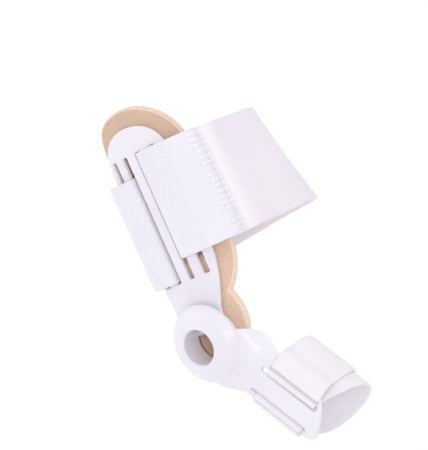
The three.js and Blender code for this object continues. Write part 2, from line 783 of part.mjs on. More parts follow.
function toeOutlinePoints() {
  const [surface, middle] = channelSection(TOE_MIDDLE, -TOE_STRAP_OFFSET - TOE_STRAP_DEPTH);
  return steps(0, 360, 60).slice(1).map((angle) => [
    surface + TOE_HALF_WIDTH * (1 + Math.cos(radians(angle))),
    middle + TOE_HALF_HEIGHT * Math.sin(radians(angle)),
  ]);
}

// An outer lap of the toe strap: off the plate's face first, then down on the strap's own inner run
function toeLap(run, barWidth, length) {
  const onPlate = PLATE_THICKNESS + TOE_STRAP_OFFSET + TOE_STRAP_DEPTH;
  const spacing = span(run[0], run[1]);
  const count = Math.round(length / spacing);
  const landing = barWidth + TOE_STRAP_LANDING;
  const heights = (i) => lerp(onPlate, TOE_STRAP_LEVEL, smooth(i * spacing, barWidth, landing));
  return shifted(run, heights).slice(1, count + 1);
}

function makeToeStrap() {
  const offset = TOE_STRAP_OFFSET;
  const dorsalEdge = TOE_UPPER_SLOT + TOE_SLOT_WIDTH / 2;
  const plantarEdge = TOE_LOWER_SLOT - TOE_SLOT_WIDTH / 2;
  const wrapped = [
    ...steps(TOE_PLANTAR_EDGE, TOE_DORSAL_EDGE, 30)
      .map((across) => channelSection(across, -offset - TOE_STRAP_DEPTH)),
    ...toeOutlinePoints(),
  ];
  const from = channelSection(dorsalEdge, -offset);
  const to = channelSection(plantarEdge, -offset);
  const run = tautRun(wrapped, offset, from, to, TOE_STRAP_RUN_STEPS);
  const spacing = span(run[1], run[2]);
  const dorsalLap = toeLap(run, TOE_DORSAL_EDGE - dorsalEdge, TOE_STRAP_LAP).reverse();
  const backwards = [...run].reverse().map(([inward, sideways]) => [inward, -sideways]);
  const plantarLap = toeLap(backwards, plantarEdge - TOE_PLANTAR_EDGE, TOE_STRAP_TAB)
    .map(([inward, sideways]) => [inward, -sideways]);
  const dorsalFold = slotFold(dorsalEdge, 1, channelSection, 0, PLATE_THICKNESS, offset);
  const plantarFold = slotFold(plantarEdge, -1, channelSection, 0, PLATE_THICKNESS, offset).reverse();
  const section = [...dorsalLap, ...dorsalFold, ...run.slice(1, -1), ...plantarFold, ...plantarLap];
  const runStart = dorsalLap.length + dorsalFold.length;
  const runEnd = runStart + TOE_STRAP_RUN_STEPS - 2;
  // Laps are set back a little from the slots, and the run round the toe swings forward
  const lean = (i) => {
    const fromSlot = spacing * Math.max(dorsalLap.length - i, i - runEnd - plantarFold.length, 0);
    const share = Math.min(Math.max((i - runStart) / (runEnd - runStart), 0), 1);
    const setBack = TOE_STRAP_SET_BACK * smooth(fromSlot, 0, TOE_STRAP_TAB);
    return TOE_STRAP_SWING * 4 * share * (1 - share) - setBack;
  };
  const along = section.map((unused, i) => TOE_STRAP_REAR + lean(i));
  return ribbon(
    { section, along },
    { section, along: along.map((rear) => rear + TOE_STRAP_WIDTH) },
    TOE_STRAP_THICKNESS,
    toeFrame,
  );
}

const corrector = new THREE.Group();

function addPiece(name, solid, material) {
  const mesh = new THREE.Mesh(geometryOf(solid), material.clone());
  mesh.name = name;
  corrector.add(mesh);
}

addPiece("arch_plate", makeArchPlate(), plastic);
addPiece("toe_plate", makeToePlate(), plastic);
addPiece("arch_pad", makePad(), foam);
addPiece("foot_strap", makeFootStrap(), webbing);
addPiece("toe_strap", makeToeStrap(), webbing);

export default corrector;
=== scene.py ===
"""Looks for the bunion corrector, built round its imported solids.

Sizes here are millimetres, and the finished meshes are metres."""

import math

import bmesh
import bpy
import numpy as np
from mathutils import Matrix, Vector
from mathutils.geometry import delaunay_2d_cdt


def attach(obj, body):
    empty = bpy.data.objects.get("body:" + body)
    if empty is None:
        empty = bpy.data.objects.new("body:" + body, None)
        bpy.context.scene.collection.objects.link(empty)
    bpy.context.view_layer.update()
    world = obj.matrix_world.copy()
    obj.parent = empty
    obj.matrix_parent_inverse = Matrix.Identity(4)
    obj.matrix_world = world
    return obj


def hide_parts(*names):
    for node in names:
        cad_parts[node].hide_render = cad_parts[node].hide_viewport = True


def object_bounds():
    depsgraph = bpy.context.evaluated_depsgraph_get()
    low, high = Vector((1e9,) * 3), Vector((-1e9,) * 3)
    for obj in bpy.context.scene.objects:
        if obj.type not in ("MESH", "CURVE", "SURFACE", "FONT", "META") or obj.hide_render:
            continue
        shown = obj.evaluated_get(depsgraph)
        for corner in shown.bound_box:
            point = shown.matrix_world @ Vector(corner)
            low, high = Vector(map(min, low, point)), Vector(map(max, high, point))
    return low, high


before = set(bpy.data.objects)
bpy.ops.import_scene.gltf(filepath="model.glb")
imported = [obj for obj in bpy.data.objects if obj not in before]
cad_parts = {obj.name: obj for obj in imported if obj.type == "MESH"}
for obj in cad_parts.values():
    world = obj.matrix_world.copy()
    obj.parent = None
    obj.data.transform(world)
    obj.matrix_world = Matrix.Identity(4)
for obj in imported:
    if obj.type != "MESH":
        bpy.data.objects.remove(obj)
solid_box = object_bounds()
MM = 0.001

# Sizes shared with the solids
CLEARANCE = 0.3
PAD_THICKNESS = 4.8
PAD_CURVE_RADIUS = 49
PAD_REAR_MARGIN = 8.6
PAD_DORSAL_MARGIN = 9.2
PAD_PLANTAR_MARGIN = 5
PAD_LOBE_RADIUS = 21
PAD_LOBE_SETBACK = 7.6
PAD_LOBE_HALF_ANGLE = 118
PAD_WELL_FLOOR = 1.4
PAD_WAIST_EASE = 16
PAD_DORSAL_EASE = 24
PAD_PLANTAR_ROUNDING = 18
PAD_DORSAL_ROUNDING = 26
PLATE_THICKNESS = 2.4
PLATE_BEVEL = 0.5
ARCH_LENGTH = 102.4
ARCH_DORSAL_WIDTH = 17
ARCH_PLANTAR_WIDTH = 20.2
ARCH_END_ROUNDING = 15
ARCH_NECK_LENGTH = 32
ARCH_NECK_REACH = 10
ARCH_NECK_EASE = 1.4
ARCH_SHOULDER = 8
ARCH_SHOULDER_DROP = 3.5
ARCH_CROWN_DROP = 1
SLOT_LENGTH = 61.5
SLOT_WIDTH = 3.1
SLOT_PITCH = 8.5
SLOT_FRONT = 29
SLOT_EDGE_MARGIN = 3.25
SLOT_ROUNDING = 0.6
HUB_FORWARD = 60
HUB_DROP = 3
HUB_RADIUS = 18.1
HUB_DOME_HEIGHT = 5.2
RING_RADIUS = 14.4
RING_SEAT = 4
RING_INSET = 2.5
RING_HEIGHT = 3.9
BORE_RADIUS = 8.2
BORE_ROUNDING = 0.6
TUBE_WALL = 1.7
SNAP_LIP = 0.8
SNAP_LIP_HEIGHT = 1.1
SNAP_LIP_CHAMFER = 0.6
SNAP_SLIT_WIDTH = 1.4
SNAP_SLIT_DEPTH = 4.1
SNAP_SLIT_ANGLE = 223
TOE_TURN = 32.4
TOE_LENGTH = 64
TOE_MIDDLE = 3.2
TOE_HALF_CHANNEL = 13.8
TOE_CHANNEL_RADIUS = 16
TOE_FORMED_AT = 28
TOE_INWARD_SLOPE = 0.1
TOE_ROOT_INSET = 3
TOE_NECK_END = 32
TOE_NECK_CREST = 9
TOE_TIP_ROUNDING = 18
TOE_TIP_RISE = 4
TOE_SLOT_REAR = 28.2
TOE_SLOT_LENGTH = 29.8
TOE_SLOT_WIDTH = 2.2
TOE_SLOT_ROUNDING = 0.8
TOE_SLOT_SPACING = 11.6
FOOT_STRAP_WIDTH = 51
FOOT_STRAP_THICKNESS = 1.5
FOOT_STRAP_LAP = 25
FOOT_STRAP_SOLE_LAP = 36
FOOT_STRAP_DORSAL_START = -30
FOOT_STRAP_PLANTAR_START = -20.6
FOOT_REAR = {"half_width": 33.5, "half_height": 31, "centre_height": -4.5, "squareness": 2.3}
FOOT_FRONT = {"half_width": 45.5, "half_height": 26, "centre_height": -3, "squareness": 2.3}
TOE_STRAP_WIDTH = 25.5
TOE_STRAP_THICKNESS = 1.2
TOE_STRAP_REAR = 31.3
TOE_STRAP_SET_BACK = 1.6
TOE_STRAP_SWING = 7.5
TOE_STRAP_LAP = 31
TOE_STRAP_TAB = 12
TOE_STRAP_LANDING = 7
TOE_HALF_WIDTH = 17
TOE_HALF_HEIGHT = 14

# Sizes of the looks alone
OUTLINE_SPACING = 1.2
CURVE_STEPS = 18
CORNER_STEPS = 5
CIRCLE_STEPS = 60
PLATE_WRAP_STEPS = 24
WRAP_STEPS = 30
FOOT_STEPS = 120
LEAST_MITRE = 0.6
FILL_CLEARANCE = 0.55
VOXEL = 0.42
SOFTENING_ROUNDS = 3
RING_FOOT_LEAST = 1
RING_FOOT_LIFT = 0.2
RING_SIDES = 144
HUB_SIDES = 216
TOE_SPACING = 1.2
PAD_SPACING = 1.3
PAD_ROUNDING = 1.3
PAD_WELL_SLOPE = 0.4
PAD_DENT = 1.9
PAD_DENT_BESIDE = (2, 4.6)
PAD_DENT_LENGTHWISE = (0.4, 3)
STRAP_COLUMN = 1.9
STRAP_SHOULDER = 0.8
STRAP_NOSE = 0.35
STRAP_REAR_WAVE = 31
STRAP_FRONT_WAVE = 27
FOOT_STRAP_WAVINESS = 0.16
TOE_STRAP_WAVINESS = 0.12
STRAP_SHIFT_START = 0.35
STRAP_SHIFT_END = 0.9
FOLD_STEPS = 8
FOOT_STRAP_RUN_STEPS = 260
TOE_STRAP_RUN_STEPS = 130
LAP_TAPER = 4
LAP_END_SHARE = 0.3
LAP_SINK = 0.9
STITCH_COLUMNS = (5.3, 1.9, -2.1)
STITCH_MARGIN = 2.4
STITCH_PITCH = 2.85
STITCH_LENGTH = 2.5
STITCH_RADIUS = 0.6
STITCH_STRAY = 0.15
STITCH_END_STRAY = 0.1
STITCH_CROWN = 0.45
STITCH_SINK = 0.2
STITCH_END_GIRTH = 0.72
STITCH_FLATNESS = 0.75
STITCH_SIDES = 8
STITCH_RINGS = 6
STATIONS_BELOW_LAP = 60
SEWN_LAP = 7
SEWN_RUN = 3.8
# How far past the lap's end the painted highlight band on the elastic fades out.
PAINTED_HIGHLIGHT_RUN = 15
BRUSHED_STATIONS = 6
ELASTIC_SHARE = 0.8

# Tones of the looks, as screen colours of 0 to 255, with the scales of foam cells and weave
# The edge tone is a painted highlight on the sharp rims, and the hollow tone is painted shade in the
# hollows, warmed like a reflection of the pad.
PLASTIC = {
    "base": (240, 236, 243), "light": (239, 236, 243), "shade": (231, 227, 237),
    "edge": (250, 248, 252), "hollow_shade": (236, 224, 231),
}
# The front tone paints light towards the pad's front end and leaves the rear as if in shade.
FOAM_FACE = {"light": (222, 192, 170), "dark": (208, 176, 152), "front": (250, 219, 197), "cells": 1900}
# The pad's rim is a paler copy of the foam, with light painted on its rounded edge.
FOAM_EDGE_PAINTED_LIGHT = {"light": (242, 218, 199), "dark": (232, 204, 184), "front": (250, 230, 206), "cells": 2600}
WEBBING = {"light": (244, 241, 250), "shade": (238, 234, 246), "weave": 38}
TOE_WEBBING = {"light": (246, 243, 248), "shade": (241, 237, 244), "weave": 44}
# The pressed tone is a painted highlight band on the run just past the lap's end.
ELASTIC = {
    "base": (244, 238, 246), "light": (239, 233, 241), "shade": (233, 226, 236),
    "ribs": (222, 214, 228), "pressed": (249, 244, 249),
}
THREAD = {"base": (253, 251, 255), "light": (252, 250, 254), "shade": (245, 242, 249)}
# Mostly painted shade among the stitch bars, with a little greying of the cloth that the thread draws in.
SEWN_PAINTED_SHADE = (232, 228, 239)

# Worked out from the sizes
PLATE_INNER = PAD_THICKNESS + CLEARANCE
PLATE_OUTER = PLATE_INNER + PLATE_THICKNESS
ARCH_REFERENCE_RADIUS = PAD_CURVE_RADIUS + PLATE_INNER
RING_FACE = PLATE_INNER + RING_HEIGHT
DISC_BASE = RING_FACE + CLEARANCE
DISC_FACE = DISC_BASE + PLATE_THICKNESS
DOME_FACE = DISC_FACE + HUB_DOME_HEIGHT
TUBE_RADIUS = BORE_RADIUS + TUBE_WALL
LIP_RADIUS = TUBE_RADIUS + SNAP_LIP
TUBE_FOOT = PLATE_INNER + CLEARANCE
LIP_TOP = TUBE_FOOT + SNAP_LIP_HEIGHT
TOE_UPPER_SLOT = TOE_MIDDLE + TOE_SLOT_SPACING / 2
TOE_LOWER_SLOT = TOE_MIDDLE - TOE_SLOT_SPACING / 2
TOE_DORSAL_EDGE = TOE_MIDDLE + TOE_HALF_CHANNEL
TOE_PLANTAR_EDGE = TOE_MIDDLE - TOE_HALF_CHANNEL
LOWEST_SLOT = SLOT_EDGE_MARGIN + SLOT_WIDTH / 2 - ARCH_PLANTAR_WIDTH
SLOTS = [LOWEST_SLOT + SLOT_PITCH * n for n in range(4)]
SLOT_START = HUB_FORWARD - SLOT_FRONT - SLOT_LENGTH
BARS = {
    "dorsal": (SLOTS[2] + SLOT_WIDTH / 2, SLOTS[3] - SLOT_WIDTH / 2),
    "plantar": (SLOTS[1] - SLOT_WIDTH / 2, SLOTS[0] + SLOT_WIDTH / 2),
}
FOOT_STRAP_OFFSET = CLEARANCE + FOOT_STRAP_THICKNESS / 2
FOOT_STRAP_LEVEL = FOOT_STRAP_THICKNESS + CLEARANCE
TOE_STRAP_OFFSET = CLEARANCE + TOE_STRAP_THICKNESS / 2
TOE_STRAP_LEVEL = CLEARANCE + TOE_STRAP_THICKNESS
TOE_STRAP_DEPTH = TOE_STRAP_OFFSET + CLEARANCE


def lerp(a, b, share):
    return a + (b - a) * share


def smooth(value, start, end):
    share = min(max((value - start) / (end - start), 0), 1)
    return share * share * (3 - 2 * share)


def steps(start, end, count):
    return [lerp(start, end, i / count) for i in range(count + 1)]


# Places on the two splints
def arch_section(across, out):
    angle = across / ARCH_REFERENCE_RADIUS
    radius = PAD_CURVE_RADIUS + out
    return PAD_CURVE_RADIUS - radius * math.cos(angle), radius * math.sin(angle)


def arch_place(along, across, out):
    return (along, *arch_section(across, out))


def toe_section(across, out, formed=1.0):
    if formed == 0:
        return -out, across
    radius = TOE_CHANNEL_RADIUS / formed
    roll = -TOE_MIDDLE / radius
    angle = roll + across / radius
    return (
        radius * (math.cos(roll) - math.cos(angle)) - out * math.cos(angle),
        radius * (math.sin(angle) - math.sin(roll)) + out * math.sin(angle),
    )


def toe_frame(along, inward, sideways):
    turn = math.radians(TOE_TURN)
    slope = TOE_INWARD_SLOPE * max(along - HUB_RADIUS, 0)
    return (
        HUB_FORWARD + along * math.cos(turn) - sideways * math.sin(turn),
        -DISC_BASE + inward + slope,
        -HUB_DROP + along * math.sin(turn) + sideways * math.cos(turn),
    )


def toe_place(along, across, out):
    reach = math.hypot(max(along, 0), across)
    return toe_frame(along, *toe_section(across, out, smooth(reach, HUB_RADIUS, TOE_FORMED_AT)))


# Outlines, as closed lists of points
class Outline:
    def __init__(self, x, y):
        self.points = [(x, y)]

    def line(self, x, y):
        start = self.points[-1]
        count = max(1, round(math.dist(start, (x, y)) / OUTLINE_SPACING))
        self.points += [(lerp(start[0], x, s), lerp(start[1], y, s)) for s in steps(0, 1, count)[1:]]
        return self

    def bezier(self, ax, ay, bx, by, x, y):
        sx, sy = self.points[-1]
        for t in steps(0, 1, CURVE_STEPS)[1:]:
            u = 1 - t
            self.points.append((
                u ** 3 * sx + 3 * u * u * t * ax + 3 * u * t * t * bx + t ** 3 * x,
                u ** 3 * sy + 3 * u * u * t * ay + 3 * u * t * t * by + t ** 3 * y,
            ))
        return self

    def arc(self, x, y, radius, start, end, count):
        for angle in steps(math.radians(start), math.radians(end), count):
            point = (x + radius * math.cos(angle), y + radius * math.sin(angle))
            if math.dist(point, self.points[-1]) > 0.05:
                self.points.append(point)
        return self

    def closed(self):
        if math.dist(self.points[0], self.points[-1]) < 0.05:
            self.points.pop()
        return self.points


def arc_points(x, y, radius, start, end, count):
    return [(x + radius * math.cos(math.radians(a)), y + radius * math.sin(math.radians(a)))
            for a in steps(start, end, count)]


def slot_outline(start, across, length, width, rounding):
    """A slot's rim, clockwise, so that its left side is the slot and its right side the plate's material."""
    end, top, bottom = start + length, across + width / 2, across - width / 2
    rear, front, low, high = start + rounding, end - rounding, bottom + rounding, top - rounding
    rim = Outline(rear, top)
    rim.line(front, top).arc(front, high, rounding, 90, 0, CORNER_STEPS)
    rim.line(end, low).arc(front, low, rounding, 0, -90, CORNER_STEPS)
    rim.line(rear, bottom).arc(rear, low, rounding, -90, -180, CORNER_STEPS)
    rim.line(start, high).arc(rear, high, rounding, 180, 90, CORNER_STEPS)
    return rim.closed()


def inward_normals(points):
    """For each corner of a closed outline, the way to move it so that both sides shift left by one."""
    pts = np.array(points)
    before = pts - np.roll(pts, 1, 0)
    after = np.roll(pts, -1, 0) - pts
    sides = [np.stack([-v[:, 1], v[:, 0]], 1) / np.linalg.norm(v, axis=1)[:, None] for v in (before, after)]
    middle = sides[0] + sides[1]
    middle /= np.linalg.norm(middle, axis=1)[:, None]
    return middle / np.maximum((middle * sides[0]).sum(1), LEAST_MITRE)[:, None]


def inside(points, polygon):
    """Which points lie inside a closed polygon."""
    pts, poly = np.asarray(points), np.asarray(polygon)
    result = np.zeros(len(pts), bool)
    for a, b in zip(poly, np.roll(poly, -1, 0)):
        crosses = (a[1] > pts[:, 1]) != (b[1] > pts[:, 1])
        with np.errstate(divide="ignore", invalid="ignore"):
            x = a[0] + (pts[:, 1] - a[1]) * (b[0] - a[0]) / (b[1] - a[1])
        result ^= crosses & (pts[:, 0] < x)
    return result


def within(points, loops):
    """Which points lie inside the first loop and outside the others."""
    result = inside(points, loops[0])
    for hole in loops[1:]:
        result &= ~inside(points, hole)
    return result


def filled(outer, loops, creases, spacing):
    """A flat mesh between closed loops: its points, its triangles, and each rim point's number in it."""
    outside = np.array(outer)
    xs = np.arange(outside[:, 0].min(), outside[:, 0].max(), spacing)
    ys = np.arange(outside[:, 1].min(), outside[:, 1].max(), spacing)
    grid = np.array([(x + (k % 2) * spacing / 2, y) for k, y in enumerate(ys) for x in xs])
    grid = grid[within(grid, loops)]
    rims = np.concatenate([*loops, *creases])
    near = np.array([np.min(np.hypot(*(rims - p).T)) for p in grid])
    grid = grid[near > spacing * FILL_CLEARANCE]
    edges, start = [], 0
    for loop in (*loops, *creases):
        edges += [(start + i, start + (i + 1) % len(loop)) for i in range(len(loop))]
        start += len(loop)
    coords = [Vector(p) for p in (*rims, *grid)]
    verts, _, faces, origins, _, _ = delaunay_2d_cdt(coords, edges, [], 0, 1e-6)
    flat = np.array([tuple(v) for v in verts])
    faces = np.array([f for f in faces if len(f) == 3])
    faces = faces[within(flat[faces].mean(1), loops)]
    return flat, faces, {old: new for new, olds in enumerate(origins) for old in olds}


def sheet_mesh(outer, holes, low, high, rounding, place, spacing=1.5, rim_steps=4, creases=()):
    """A sheet with rounded rims, raised between two layers.

    Gives its points in millimetres, its faces and the number of its first rim face."""
    loops = [outer, *holes]
    moves = [inward_normals(loop) for loop in loops]
    flat_loops = [np.array(loop) + move * rounding for loop, move in zip(loops, moves)]
    flat, triangles, found = filled(outer, flat_loops, creases, spacing)
    count = len(flat)
    points = [(x, y, level) for level in (high, low) for x, y in flat]
    faces = [tuple(f) for f in triangles] + [tuple(f[::-1] + count) for f in triangles]
    rim_start = len(faces)
    turns = steps(0, math.pi / 2, rim_steps)[1:]
    rows = [(rounding * (1 - math.sin(t)), high - rounding * (1 - math.cos(t))) for t in turns]
    rows += [(inset, low + high - level) for inset, level in reversed(rows)]
    first = 0
    for loop, move in zip(loops, moves):
        size = len(loop)
        rings = [[found[first + i] for i in range(size)]]
        for inset, level in rows:
            rings.append(range(len(points), len(points) + size))
            points += [(x + mx * inset, y + my * inset, level) for (x, y), (mx, my) in zip(loop, move)]
        rings.append([found[first + i] + count for i in range(size)])
        for upper, lower in zip(rings, rings[1:]):
            for i in range(size):
                j = (i + 1) % size
                faces.append((upper[i], lower[i], lower[j], upper[j]))
        first += size
    return [place(*p) for p in points], faces, rim_start


def bands(start, rings, size, joined=False):
    """Faces between rings of points that follow one another, the last ring meeting the first if joined."""
    faces = []
    for r in range(rings if joined else rings - 1):
        here, after = start + r * size, start + (r + 1) % rings * size
        for i in range(size):
            j = (i + 1) % size
            faces.append((here + i, here + j, after + j, after + i))
    return faces


def tube_faces(start, rings, size):
    """The faces of a closed tube: bands between its rings, and a cap at either end."""
    last = start + (rings - 1) * size
    caps = [tuple(range(start, start + size)), tuple(reversed(range(last, last + size)))]
    return bands(start, rings, size) + caps


def turned_mesh(profile, segments, changed):
    """A body turned about the hub axis from a closed profile, which changed alters by the angle."""
    points = []
    for k in range(segments):
        angle = 2 * math.pi * k / segments
        for radius, out in changed(profile, angle):
            forward, up = radius * math.cos(angle), radius * math.sin(angle)
            points.append((HUB_FORWARD + forward, -out, -HUB_DROP + up))
    return points, bands(0, segments, len(profile), joined=True)


def new_object(name, points, faces):
    mesh = bpy.data.meshes.new(name)
    mesh.from_pydata([Vector(p) * MM for p in points], [], [tuple(int(i) for i in f) for f in faces])
    mesh.validate()
    obj = bpy.data.objects.new(name, mesh)
    bpy.context.scene.collection.objects.link(obj)
    face_outwards(obj)
    mesh.shade_smooth()
    return obj


def face_outwards(obj):
    work = bmesh.new()
    work.from_mesh(obj.data)
    bmesh.ops.recalc_face_normals(work, faces=work.faces)
    work.to_mesh(obj.data)
    work.free()


def apply_modifiers(obj):
    graph = bpy.context.evaluated_depsgraph_get()
    mesh = bpy.data.meshes.new_from_object(obj.evaluated_get(graph))
    obj.modifiers.clear()
    obj.data = mesh


def moulded(name, shells):
    """One moulded body from overlapping closed shells, with softened corners."""
    points, faces = [], []
    for shell in shells:
        shell_points, shell_faces = shell[:2]
        start = len(points)
        points += shell_points
        faces += [tuple(int(i) + start for i in f) for f in shell_faces]
    obj = new_object(name, points, faces)
    remesh = obj.modifiers.new("blend", "REMESH")
    remesh.mode = "VOXEL"
    remesh.voxel_size = VOXEL * MM
    soften = obj.modifiers.new("soften", "SMOOTH")
    soften.factor = 0.5
    soften.iterations = SOFTENING_ROUNDS
    apply_modifiers(obj)
    obj.data.shade_smooth()
    return obj


# Arch splint
def arch_outline():
    rear = HUB_FORWARD - ARCH_LENGTH
    neck = HUB_FORWARD - ARCH_NECK_LENGTH
    seat = HUB_FORWARD - RING_SEAT
    ring_top = HUB_RADIUS * 0.66 - HUB_DROP
    ring_bottom = RING_INSET - HUB_RADIUS - HUB_DROP
    rounding, dorsal, plantar = ARCH_END_ROUNDING, ARCH_DORSAL_WIDTH, ARCH_PLANTAR_WIDTH
    rim = Outline(rear + rounding, -plantar)
    rim.line(neck, -plantar)
    rim.bezier(neck + ARCH_NECK_REACH, ARCH_NECK_EASE - plantar,
               seat - ARCH_SHOULDER, ring_bottom, seat, ring_bottom)
    rim.line(seat, ring_top - ARCH_NECK_EASE)
    rim.line(HUB_FORWARD - HUB_RADIUS * 0.68, ring_top)
    rim.bezier(neck + ARCH_NECK_REACH, dorsal - ARCH_SHOULDER_DROP,
               neck, dorsal, neck - ARCH_SHOULDER, dorsal)
    rim.line(rear + rounding, dorsal)
    rim.bezier(rear + rounding * 0.4, dorsal - ARCH_CROWN_DROP, rear, dorsal * 0.55, rear, -ARCH_CROWN_DROP)
    rim.bezier(rear, -plantar * 0.62, rear + rounding * 0.45, -plantar, rear + rounding, -plantar)
    return rim.closed()


def make_arch_plate():
    slots = [slot_outline(SLOT_START, across, SLOT_LENGTH, SLOT_WIDTH, SLOT_ROUNDING) for across in SLOTS]
    plate = sheet_mesh(arch_outline(), slots, PLATE_INNER, PLATE_OUTER, PLATE_BEVEL, arch_place)
    bore = TUBE_RADIUS + CLEARANCE
    lip_room, lip_top = LIP_RADIUS + CLEARANCE, LIP_TOP + CLEARANCE

    def above_pad(profile, angle):
        # The ring's foot follows the curved plate.
        drop = PAD_CURVE_RADIUS - math.sqrt((PAD_CURVE_RADIUS + PLATE_INNER) ** 2
                                            - (RING_RADIUS * math.sin(angle) - HUB_DROP) ** 2)
        foot = max(-drop, RING_FOOT_LEAST) + RING_FOOT_LIFT
        return [(radius, max(out, foot) if out < lip_top else out) for radius, out in profile]

    ring = turned_mesh([
        (lip_room, 0), (RING_RADIUS, 0), (RING_RADIUS, RING_FACE - PLATE_BEVEL),
        (RING_RADIUS - PLATE_BEVEL, RING_FACE), (bore, RING_FACE), (bore, lip_top), (lip_room, lip_top),
    ], RING_SIDES, above_pad)
    return moulded("arch_splint", [plate, ring])


# Toe splint, with its dome's profile from rim to bore in shares of the dome's width and height
DOME_PROFILE = [
    (0, -0.08), (0.03, 0.05), (0.09, 0.17), (0.18, 0.39), (0.28, 0.56),
    (0.4, 0.72), (0.535, 0.83), (0.67, 0.91), (0.8, 0.97), (0.92, 1),
]


def toe_outline():
    front, top, bottom, tip = TOE_LENGTH, TOE_DORSAL_EDGE, TOE_PLANTAR_EDGE, TOE_TIP_ROUNDING
    rim = Outline(BORE_RADIUS + TOE_ROOT_INSET, HUB_RADIUS * 0.5)
    rim.line(BORE_RADIUS + TOE_ROOT_INSET, -HUB_RADIUS * 0.55)
    rim.line(HUB_RADIUS * 0.7, -HUB_RADIUS * 0.7)
    rim.bezier(HUB_RADIUS, bottom - TOE_TIP_RISE / 3, TOE_NECK_END * 0.75, bottom, TOE_NECK_END, bottom)
    rim.line(front - tip, bottom)
    rim.bezier(front - tip * 0.45, bottom, front, bottom + TOE_TIP_RISE, front, TOE_LOWER_SLOT)
    rim.bezier(front, TOE_UPPER_SLOT - TOE_TIP_RISE / 2, front - tip * 0.4, top, front - tip * 0.9, top)
    rim.line(TOE_NECK_END, top)
    rim.bezier(TOE_NECK_END * 0.85, top, HUB_RADIUS * 1.1, top + TOE_NECK_CREST,
               HUB_RADIUS * 0.4, HUB_RADIUS * 0.86)
    rim.line(BORE_RADIUS + TOE_ROOT_INSET, HUB_RADIUS * 0.5)
    return rim.closed()


def make_toe_plate():
    slots = [slot_outline(TOE_SLOT_REAR, across, TOE_SLOT_LENGTH, TOE_SLOT_WIDTH, TOE_SLOT_ROUNDING)
             for across in (TOE_UPPER_SLOT, TOE_LOWER_SLOT)]
    splint = sheet_mesh(toe_outline(), slots, 0, PLATE_THICKNESS, PLATE_BEVEL, toe_place, TOE_SPACING)
    slit_top = DOME_FACE - SNAP_SLIT_DEPTH

    def slit(profile, angle):
        # The slit across the snap tube is a groove half as deep as the tube's wall.
        if BORE_RADIUS * abs(math.sin(angle - math.radians(SNAP_SLIT_ANGLE))) > SNAP_SLIT_WIDTH / 2:
            return profile
        groove = (BORE_RADIUS + TUBE_RADIUS) / 2
        return [(groove if radius < BORE_RADIUS + 0.1 and out <= slit_top else radius, out)
                for radius, out in profile]

    hub = turned_mesh([
        (BORE_RADIUS, TUBE_FOOT),
        (LIP_RADIUS - SNAP_LIP_CHAMFER, TUBE_FOOT),
        (LIP_RADIUS, TUBE_FOOT + SNAP_LIP_CHAMFER),
        (LIP_RADIUS, LIP_TOP),
        (TUBE_RADIUS, LIP_TOP),
        (TUBE_RADIUS, DISC_BASE),
        (HUB_RADIUS - PLATE_BEVEL, DISC_BASE),
        (HUB_RADIUS, DISC_BASE + PLATE_BEVEL),
        *[(HUB_RADIUS - inset * (HUB_RADIUS - BORE_RADIUS), DISC_FACE + rise * HUB_DOME_HEIGHT)
          for inset, rise in DOME_PROFILE],
        *arc_points(BORE_RADIUS + BORE_ROUNDING, DOME_FACE - BORE_ROUNDING, BORE_ROUNDING, 90, 180, 4),
        (BORE_RADIUS, slit_top + 0.01),
        (BORE_RADIUS, slit_top),
    ], HUB_SIDES, slit)
    return moulded("toe_splint", [splint, hub])


# Pad
def pad_outline():
    rear = HUB_FORWARD - ARCH_LENGTH - PAD_REAR_MARGIN
    dorsal = ARCH_DORSAL_WIDTH + PAD_DORSAL_MARGIN
    plantar = ARCH_PLANTAR_WIDTH + PAD_PLANTAR_MARGIN
    lobe = HUB_FORWARD - PAD_LOBE_SETBACK
    waist = lobe + PAD_LOBE_RADIUS * math.cos(math.radians(PAD_LOBE_HALF_ANGLE))
    ease, rounding = PAD_DORSAL_EASE, PAD_PLANTAR_ROUNDING
    rim = Outline(rear + rounding, -plantar)
    rim.line(waist - PAD_WAIST_EASE, -plantar)
    rim.bezier(waist - PAD_WAIST_EASE / 2, -plantar, waist - PAD_WAIST_EASE / 4, -PAD_LOBE_RADIUS * 0.95,
               waist, -PAD_LOBE_RADIUS * 0.9 - HUB_DROP)
    rim.arc(lobe, -HUB_DROP, PAD_LOBE_RADIUS, -PAD_LOBE_HALF_ANGLE, PAD_LOBE_HALF_ANGLE, CIRCLE_STEPS)
    rim.bezier(waist - ease / 4, dorsal * 0.86, waist - ease * 0.6, dorsal, waist - ease, dorsal)
    rim.line(rear + PAD_DORSAL_ROUNDING, dorsal)
    rim.bezier(rear + PAD_DORSAL_ROUNDING * 0.46, dorsal, rear, dorsal * 0.5, rear, -ARCH_CROWN_DROP)
    rim.bezier(rear, -plantar * 0.72, rear + rounding * 0.35, -plantar, rear + rounding, -plantar)
    return rim.closed()


def pad_place(along, across, out):
    """The pad's outer face gives way softly under the strap's two loops."""
    pressed = 0
    full, gone = PAD_DENT_BESIDE
    full_along, gone_along = PAD_DENT_LENGTHWISE
    for bar, start in (("dorsal", FOOT_STRAP_DORSAL_START), ("plantar", FOOT_STRAP_PLANTAR_START)):
        low, high = sorted(BARS[bar])
        end = start + FOOT_STRAP_WIDTH
        beside = smooth(across, low - gone, low - full) * (1 - smooth(across, high + full, high + gone))
        lengthwise = smooth(along, start - gone_along, start - full_along)
        lengthwise *= 1 - smooth(along, end + full_along, end + gone_along)
        pressed = max(pressed, beside * lengthwise)
    level = out / PAD_THICKNESS
    x, y, z = arch_place(along, across, out - PAD_DENT * pressed * smooth(level, 0.5, 1))
    in_well = level > 0.5 and math.hypot(x - HUB_FORWARD, z + HUB_DROP) < BORE_RADIUS - PAD_WELL_SLOPE / 2
    return x, -PAD_WELL_FLOOR if in_well else y, z


